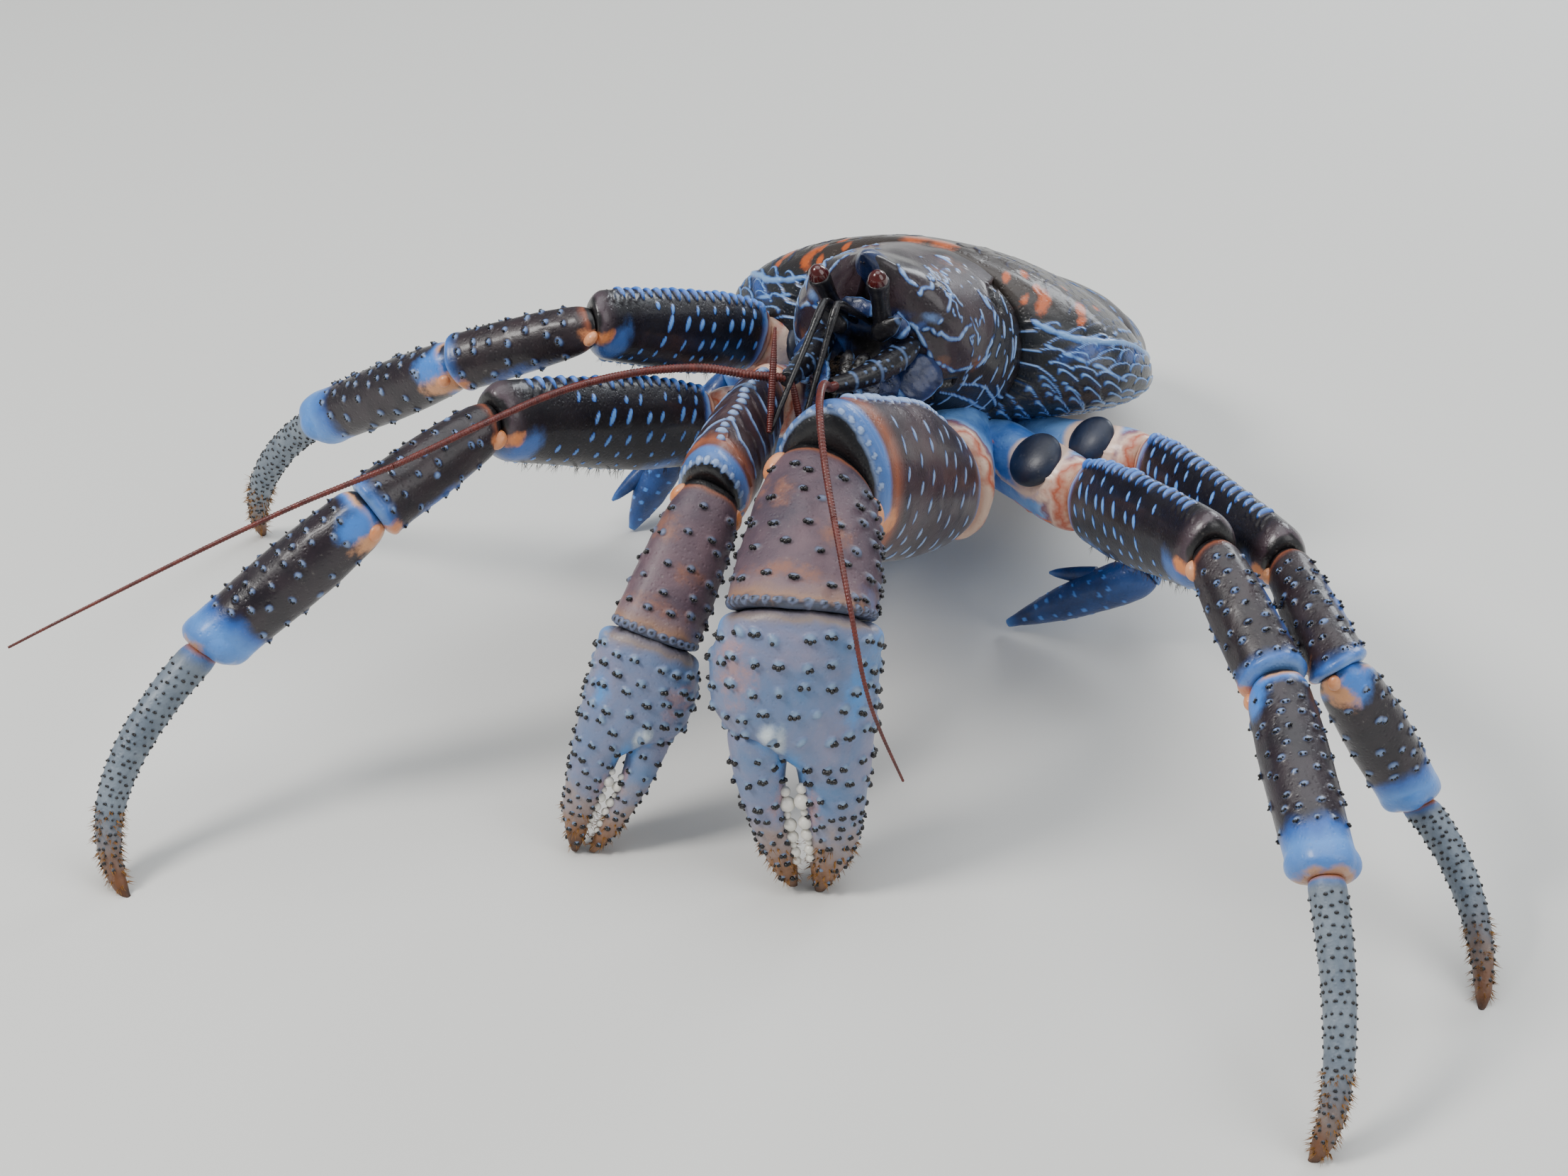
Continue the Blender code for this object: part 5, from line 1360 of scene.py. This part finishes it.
def make_claw(side, seed):
    """One claw with its arm, wrist, hand and free finger."""
    merus_depth, carpus_depth, palm_depth = CLAW_SIZES[side]
    size = palm_depth / CLAW_SIZES["left"][2]
    step = (size + 1) / 2
    joints = [mm(p) for p in CLAW_JOINTS[side]]
    planes = mitres(joints)
    depths = np.array((merus_depth * .8, merus_depth, carpus_depth)) * MM
    base, merus, carpus = limb_lofts(joints[:4], (LEG_BASE, CLAW_MERUS, CLAW_CARPUS), depths,
                                     (UP, UP, CLAW_FACE), ridges=(0, .1, 0))
    carpus.planes = (planes[2], planes[3])
    palm = hand_loft(side, joints[3], joints[4], PALM, planes[3])
    finger = hand_loft(side, joints[3], joints[4], FINGER)
    prefix = f"claw_{side}"
    points = Points()
    towards = 0 if side == "left" else 180

    def studs(skin, span, degrees, spacing, knob, lot, radius=.66):
        """Knobs with black points over a stretch of the skin."""
        places = scattered(skin.loft, span, degrees, spacing * step, lot, .24)
        made = knobs(skin, *places, (knob * step, knob * .8 * step, .24 * knob * step), lot)
        points.take(made, radius * step, radius * 1.25 * step, lot)

    skin = Skin(base, 80, 88, lip=.5 * MM)
    skin.wobble(11, .7, seed)
    keep(skin.mesh_object(f"{prefix}_root", BASE_PAINT), "joint_blue", f"{prefix}_base")
    make_arm(prefix, side, merus, seed)

    skin = Skin(carpus, 136, 152, shoulders=(6.0 * step, 2.2), drop=(.03, .07))
    skin.wobble(12, .5, seed + 5)
    studs(skin, (.10, .92), (20, 120), 7.2, 3.6, seed + 7)
    studs(skin, (.10, .95), (120, 215), 5.4, 4.2, seed + 8)
    studs(skin, (.15, .95), (-145, 20), 8.0, 3.6, seed + 9)
    rim = np.linspace(-176, 176, int(34 * step))
    skin.bumps(np.full(len(rim), .965), rim, (2.6, 2.4, .7), dark=.5)
    for t, degrees, long, wide, mask in (
            (.80, 70, 9, 30, "warm"), (.35, 50, 14, 10, "warm"), (.55, 100, 12, 14, "warm"),
            (.90, 150, 10, 12, "blue"), (.30, 20, 16, 9, "warm")):
        skin.patch(mask, t, degrees, long * step, wide * step, 1.5)
    keep(skin.mesh_object(f"{prefix}_wrist", CLAW_CARPUS_PAINT), "claw_brown", f"{prefix}_carpus")
    for name, angle in (("hinge", 8), ("hinge_low", 172)):
        dome(f"{prefix}_wrist_{name}", carpus, .07, angle, np.array((9, 8, 3.0)) * size, HINGE_PAINT,
             "joint_blue")

    skin = Skin(palm, 264, 176, shoulders=(5.0 * step, 0), drop=(.16, 0))
    skin.wobble(12, .4, seed + 10)
    studs(skin, (.05, .43), (0, 360), 5.9, 4.2, seed + 11, .78)
    outside = (30, 330) if side == "left" else (-150, 150)
    studs(skin, (.45, .66), outside, 5.2, 2.9, seed + 13, .78)
    studs(skin, (.66, .97), outside, 3.6, 1.9, seed + 14, .62)
    inner = 180 - towards
    for t, degrees, long, wide, mask in (
            (.375, (towards + 270) / 4, 9, 8, "pale"), (.41, (towards + 270) / 4, 11, 7, "pale"),
            (.05, towards, 12, 13, "blue"), (.05, inner, 14, 16, "blue"),
            (.26, (inner + 90) / 2, 34, 13, "blue"), (.50, (towards + 90) / 2, 20, 9, "blue"),
            (.20, (towards + 90) / 2, 26, 18, "warm"), (.66, (towards + 90) / 2, 22, 9, "warm")):
        skin.patch(mask, t, degrees, long * size, wide * size, 1.5)
    for angle in (0, 180):
        skin.swelling(.045, angle, (11 * size, 10 * size, 1.8 * size), 1.1)
    skin.swelling(.385, (towards + 270) / 4, (8 * size, 9 * size, 1.6 * size), 1.3)
    keep(skin.mesh_object(f"{prefix}_hand", PALM_PAINT), "claw_blue", f"{prefix}_palm")

    skin = Skin(finger, 152, 104, shoulders=(4.0 * step, 0), drop=(.3, 0))
    skin.wobble(9, .3, seed + 15)
    outside = (30, 330) if side == "right" else (-150, 150)
    studs(skin, (.44, .68), outside, 5.2, 2.9, seed + 16, .78)
    studs(skin, (.68, .95), outside, 3.6, 1.9, seed + 17, .62)
    for t, degrees, long, wide, mask in ((.47, (inner + 90) / 2, 20, 9, "blue"), (.40, 90, 9, 9, "blue"),
                                         (.62, (inner + 90) / 2, 20, 9, "warm")):
        skin.patch(mask, t, degrees, long * size, wide * size, 1.5)
    keep(skin.mesh_object(f"{prefix}_free_finger", PALM_PAINT), "claw_blue", f"{prefix}_finger")
    points.build(f"{prefix}_points", "claw_blue")
    bite(palm, 90, towards, .575, size, f"{prefix}_teeth")
    bite(finger, 90, inner, .59, size, f"{prefix}_free_teeth")
    for name, loft, span in (("bristles", palm, (.80, .97)), ("free_bristles", finger, (.80, .95))):
        tufts(f"{prefix}_{name}", loft, span, (0, 360), 2.4, 2.0, seed + 19, slot="claw_blue")


make_claw("left", 300)
make_claw("right", 400)
print("claws done")

# %% [markdown]
# ## The small fourth legs
# Behind the walking legs a short, slim pair of legs ends in small hands. They are bright blue and smooth,
# and mostly hidden under the body, so each is three smooth segments and a thumb.

# %% Small legs
SMALL_LEG_JOINTS = {
    "left": ((18, 46, 48), (84, 36, 40), (84, 12, 27), (42, 4, 3)),
    "right": ((-18, 46, 48), (-72, 44, 46), (-86, 27, 25), (-94, 13, 1)),
}
SMALL_ARM = ((0, .36, .42, .42), (.5, .42, .5, .5), (1, .38, .42, .42))
SMALL_WRIST = ((0, .36, .40, .40), (.5, .44, .48, .48), (1, .40, .44, .44))
SMALL_HAND = ((0, .36, .42, .42), (.15, .50, .58, .58), (.5, .42, .50, .50), (.8, .24, .30, .30),
              (1, .08, .10, .10))
SMALL_LEG_WIDTH = 12 * MM
THUMB = ((0, .45, .5, .5), (.4, .38, .42, .42), (.85, .2, .22, .22), (1, .06, .07, .07))
for side, places in SMALL_LEG_JOINTS.items():
    joints = [mm(p) for p in places]
    shapes = limb_lofts(joints, (SMALL_ARM, SMALL_WRIST, SMALL_HAND), (SMALL_LEG_WIDTH,) * 3, [UP] * 3)
    for label, shape in zip(("arm", "wrist", "hand"), shapes):
        skin = Skin(shape, 72, 48)
        skin.wobble(7, .25, 500)
        t, degrees = scattered(shape, (.2, .9), (0, 360), 4.5, 510)
        skin.bumps(t, degrees, (1.8, 1.4, .25))
        keep(skin.mesh_object(f"small_{side}_{label}", SMALL_LEG_PAINT), "joint_blue",
             f"small_leg_{side}_{label}")
    here, normal, along, around = (part[0] for part in shapes[2].spots([.3], [60]))
    way = unit(along + normal * .35)
    thumb = Loft((here - normal * 2 * MM, here + way * 15 * MM), UP, THUMB, 6 * MM)
    skin = Skin(thumb, 48, 32, shoulders=(0, 0), drop=(0, 0))
    keep(skin.mesh_object(f"small_{side}_thumb", SMALL_LEG_PAINT), "joint_blue")
print("small legs done")

# %% [markdown]
# ## The head
# The eyes are dark red, glossy and longer than wide, and sit on upright black stalks. Beside them stand
# the inner feelers, thin rods bent like an elbow, with a short lash at the end. The outer feelers rise
# from stout, jointed roots and run out as long ringed whips, one over the right legs and one hanging over
# the big claw.

# %% Eyes and stalks
EYE_RADIUS = 3.4 * MM
STALK_WIDTH = 6.4 * MM
STALK = ((0, .5, .5, .5), (.5, .42, .42, .42), (1, .53, .53, .53))
BALL = ((0, .02, .02, .02), (.04, .40, .40, .40), (.15, .72, .72, .72), (.35, .97, .97, .97),
        (.55, 1, 1, 1), (.75, .88, .88, .88), (.9, .58, .58, .58), (.97, .3, .3, .3), (1, .02, .02, .02))


def make_eye(side):
    foot, eye = (mm(p) for p in EYES[side])
    along = unit(eye - foot)
    half = EYE_RADIUS * 1.35
    shape = Loft((eye - along * half, eye + along * half), (0, -1, 0), BALL, EYE_RADIUS * .9, power=2.0)
    skin = Skin(shape, 72, 56, shoulders=(0, 0), drop=(0, 0))
    skin.masks["edge"] = skin.masks["near"] - 1.1 - 2.1 * (1 - skin.masks["top"])
    keep(skin.mesh_object(f"eyeball_{side}", EYE_PAINT), "eye_red", f"eye_{side}")
    stalk = Loft((foot, eye + along * .6 * MM), (0, -1, 0), STALK, STALK_WIDTH)
    skin = Skin(stalk, 72, 48, shoulders=(0, 1.0), drop=(0, .1))
    skin.wobble(5, .15, 600)
    keep(skin.mesh_object(f"stalk_{side}", DARK_PAINT), "stalk_dark", f"eyestalk_{side}")


for side in SIDES:
    make_eye(side)

# %% Feelers
ANTENNULES = {
    "left": ((3, -14, 110), (-2, -34, 126), (-4, -56, 94), (-10, -50, 108)),
    "right": ((-4, -14, 110), (-6, -34, 126), (-10, -66, 97), (-15, -50, 123)),
}
ANTENNA_ROOTS = {"left": ((15, -8, 106), (13, -32, 104), (2, -48, 106)),
                 "right": ((-13, -8, 104), (-14, -30, 100), (-13, -46, 104))}
FEELERS = {
    "left": ((3, -51, 107), (10, -74, 121), (18, -96, 126), (25, -109, 117), (35, -125, 107),
             (46, -141, 93), (54, -146, 68), (64, -140, 36)),
    "right": ((-15, -48, 104.5), (-36, -56, 108), (-54, -70, 109), (-66, -91, 111), (-76, -117, 112),
              (-90, -142, 109), (-110, -160, 102), (-134, -180, 91), (-170, -203, 71), (-188, -212, 60)),
}
STEM_WIDTH = 8 * MM
STEM = ((0, .14, .14, .14), (.10, .30, .30, .30), (.25, .46, .46, .46), (.4, .5, .5, .5),
        (.8, .36, .36, .36), (1, .30, .30, .30))


def curve_through(places, count):
    """Evenly spaced points on a smooth curve through the places."""
    ends = np.array([places[0] * 2 - places[1], *places, places[-1] * 2 - places[-2]])
    t = np.linspace(0, 1, 40, endpoint=False)[:, None]
    fine = []
    for p0, p1, p2, p3 in zip(ends, ends[1:], ends[2:], ends[3:]):
        fine.append(.5 * (2 * p1 + (p2 - p0) * t + (2 * p0 - 5 * p1 + 4 * p2 - p3) * t**2
                          + (3 * p1 - p0 - 3 * p2 + p3) * t**3))
    fine = np.concatenate((*fine, places[-1:]))
    run = np.concatenate(([0], np.cumsum(np.linalg.norm(np.diff(fine, axis=0), axis=1))))
    steps = np.linspace(0, run[-1], count)
    return np.stack([np.interp(steps, run, fine[:, k]) for k in range(3)], -1), run[-1]


def whip(name, places, radii, ring_length, ring_depth, finish, around=10):
    """A tapering tube along a curve, with the grooves between its rings."""
    rough = curve_through(places, 50)[1]
    count = int(rough / ring_length * 4)
    line, length = curve_through(places, count)
    way = unit(np.gradient(line, axis=0))
    side = np.zeros_like(way)
    side[0] = unit(np.cross(way[0], (0.3, .2, 1)))
    for i in range(1, count):
        side[i] = unit(side[i - 1] - way[i] * (side[i - 1] @ way[i]))
    up = np.cross(way, side)
    share = np.linspace(0, 1, count)
    radius = np.interp(share, np.linspace(0, 1, len(radii)), radii)
    groove = np.abs(np.cos(np.pi * share * length / ring_length)) ** 6
    radius = radius * (1 - ring_depth * groove)
    turn = np.linspace(0, 2 * np.pi, around, endpoint=False)
    ring = side[:, None] * np.cos(turn)[None, :, None] + up[:, None] * np.sin(turn)[None, :, None]
    rows = line[:, None] + ring * radius[:, None, None]
    return tube_mesh(name, rows, line[[0, -1]], finish)


def make_feelers(side):
    foot, knee, elbow, tip = (mm(p) for p in ANTENNULES[side])
    width = 2.4 * MM
    bent = [foot, foot * .5 + knee * .5, knee - unit(knee - foot) * 2 * MM,
            knee + unit(elbow - knee) * 2 * MM, knee * .5 + elbow * .5, elbow]
    radii = np.array((1, .9, 1.15, .8, .75, .8)) * width / 2
    rod = whip(f"inner_feeler_{side}", np.array(bent), radii, 9 * MM, .12, DARK_PAINT, 14)
    keep(rod, "stalk_dark", f"antennule_{side}")
    lash = np.array([elbow, elbow * .6 + tip * .4, tip])
    radii = np.array((.8, .95, .9, .35)) * width / 2
    keep(whip(f"inner_lash_{side}", lash, radii, .7 * MM, .18, FEELER_PAINT, 12), "feeler_red")
    roots = [mm(p) for p in ANTENNA_ROOTS[side]]
    stem = Loft(roots, UP, STEM, STEM_WIDTH)
    skin = Skin(stem, 96, 48, shoulders=(0, .5), drop=(0, .1))
    for joint in (.3, .55, .78):
        ring = np.exp(-((skin.t - joint) / .018) ** 2)
        skin.height -= .7 * MM * ring[:, None]
        skin.masks["spot"] = np.maximum(skin.masks["spot"],
                                        np.exp(-((skin.t - joint - .035) / .014) ** 2)[:, None])
    t, degrees = scattered(stem, (.1, .95), (0, 360), 3.4, 620)
    skin.bumps(t, degrees, (1.2, 1.2, .4))
    keep(skin.mesh_object(f"feeler_root_{side}", DARK_PAINT), "stalk_dark", f"antenna_base_{side}")
    places = [roots[2] * .9 + roots[1] * .1, *(mm(p) for p in FEELERS[side])]
    line = curve_through(np.array(places), 60)[0]
    for part, stretch, radii in (("inner", line[:31:3], (1.45, 1.2, .96)),
                                 ("outer", line[30::3], (.96, .7, .42))):
        made = whip(f"feeler_{part}_{side}", stretch, np.array(radii) * MM, 1.0 * MM, .2, FEELER_PAINT)
        keep(made, "feeler_red", f"antenna_{side}_{part}")


for side in SIDES:
    make_feelers(side)

# %% Mouth limbs
MOUTH_LIMBS = {"left": ((5.4, 12, 80), (5.2, -12, 86), (4.6, -32, 74)),
               "right": ((-5.4, 12, 80), (-5.2, -12, 86), (-4.6, -32, 74))}
MOUTH_LIMB = ((0, .5, .5, .5), (.5, .46, .5, .5), (1, .2, .25, .25))
for side, places in MOUTH_LIMBS.items():
    shape = Loft([mm(p) for p in places], UP, MOUTH_LIMB, 9 * MM)
    skin = Skin(shape, 80, 48)
    skin.wobble(5, .3, 640)
    keep(skin.mesh_object(f"mouth_{side}", SMALL_LEG_PAINT), "joint_blue", f"mouth_limb_{side}")

# %% [markdown]
# Between the eyes and the claws lie many small hard plates: a blue bar between the stalks, a pointed
# scale beside each stalk, rounded blue plates at the roots of the outer feelers, and the jointed, bristly
# mouth limbs. They are drawn as short flattened lofts with pale rims, so that the face does not end in a
# bare wall.

# %% Small plates and bristles of the face
PLATE = ((0, .30, .16, .16), (.12, .46, .22, .22), (.5, .5, .24, .24), (.85, .36, .2, .2),
         (1, .10, .08, .08))
THORN = ((0, .12, .1, .1), (.18, .40, .26, .26), (.5, .42, .26, .26), (.85, .2, .14, .14),
         (1, .04, .04, .04))
FACE_PLATES = (
    ("brow_bar", (-6.5, -19.5, 117.5), (5.0, -19.5, 118), 6.0, PLATE),
    ("scale", (4.5, -21.5, 110), (13.5, -21.5, 118), 7.5, THORN),
    ("brow_scale", (8.5, -18, 115), (14.5, -19, 111), 6.5, PLATE),
    ("root_plate", (20, -11, 99), (13, -25, 93), 14, PLATE),
    ("cheek_plate", (13, -22, 97), (5, -37, 98), 9, PLATE),
    ("lower_plate", (12, -17, 88), (5.5, -38, 88), 11, PLATE),
    ("jaw", (8, -14, 98), (3.5, -35, 91), 9, THORN),
    ("lip", (3, -22, 104), (1, -31, 97), 6, THORN),
)
BEAK = ((0, .62, .6, .6), (.45, .46, .5, .42), (.8, .22, .26, .2), (1, .04, .04, .04))
for label, start, end, width, table in FACE_PLATES:
    for side, sign in SIDES.items():
        if label == "brow_bar" and sign < 0:
            continue
        flip = np.array((sign, 1, 1))
        shape = Loft((mm(start) * flip, mm(end) * flip), (0.3 * sign, -1, .5), table, width * MM, power=2.0)
        skin = Skin(shape, 44, 38, shoulders=(0, 0), drop=(0, 0))
        skin.wobble(3, .25, 650 + len(label))
        skin.masks["spot"] = np.maximum(np.clip(1 - np.abs(skin.to_end_mm - 1.2) / 1.0, 0, 1)[:, None],
                                        np.clip(np.abs(np.cos(skin.angle)) - .93, 0, 1)[None, :] * 14)
        keep(skin.mesh_object(f"{label}_{side}", PLATE_PAINT if table is PLATE else DARK_PAINT),
             "stalk_dark")
        if label in ("jaw", "lip", "lower_plate", "cheek_plate"):
            tufts(f"{label}_bristles_{side}", shape, (.2, .95), (0, 360), 1.7, 2.6, 660, slot="stalk_dark",
                  finish=FUZZ_PAINT, thin=.07)
beak_line = Loft((mm((0, -9.5, 125.5)), mm((.2, -20.5, 136.2))), UP, BEAK, 9 * MM)
beak = Skin(beak_line, 48, 40, shoulders=(0, 0), drop=(0, 0))
keep(beak.mesh_object("beak", PLATE_PAINT), "shell")

# %% [markdown]
# ## Closing
# The triangles of the meshes that are rendered are counted.

# %% Measure and finish
total = sum(len(item.data.loop_triangles) or len(item.data.polygons) * 2 for item in bpy.data.objects
            if item.type == "MESH" and not item.hide_render)
print("about", total, "triangles")
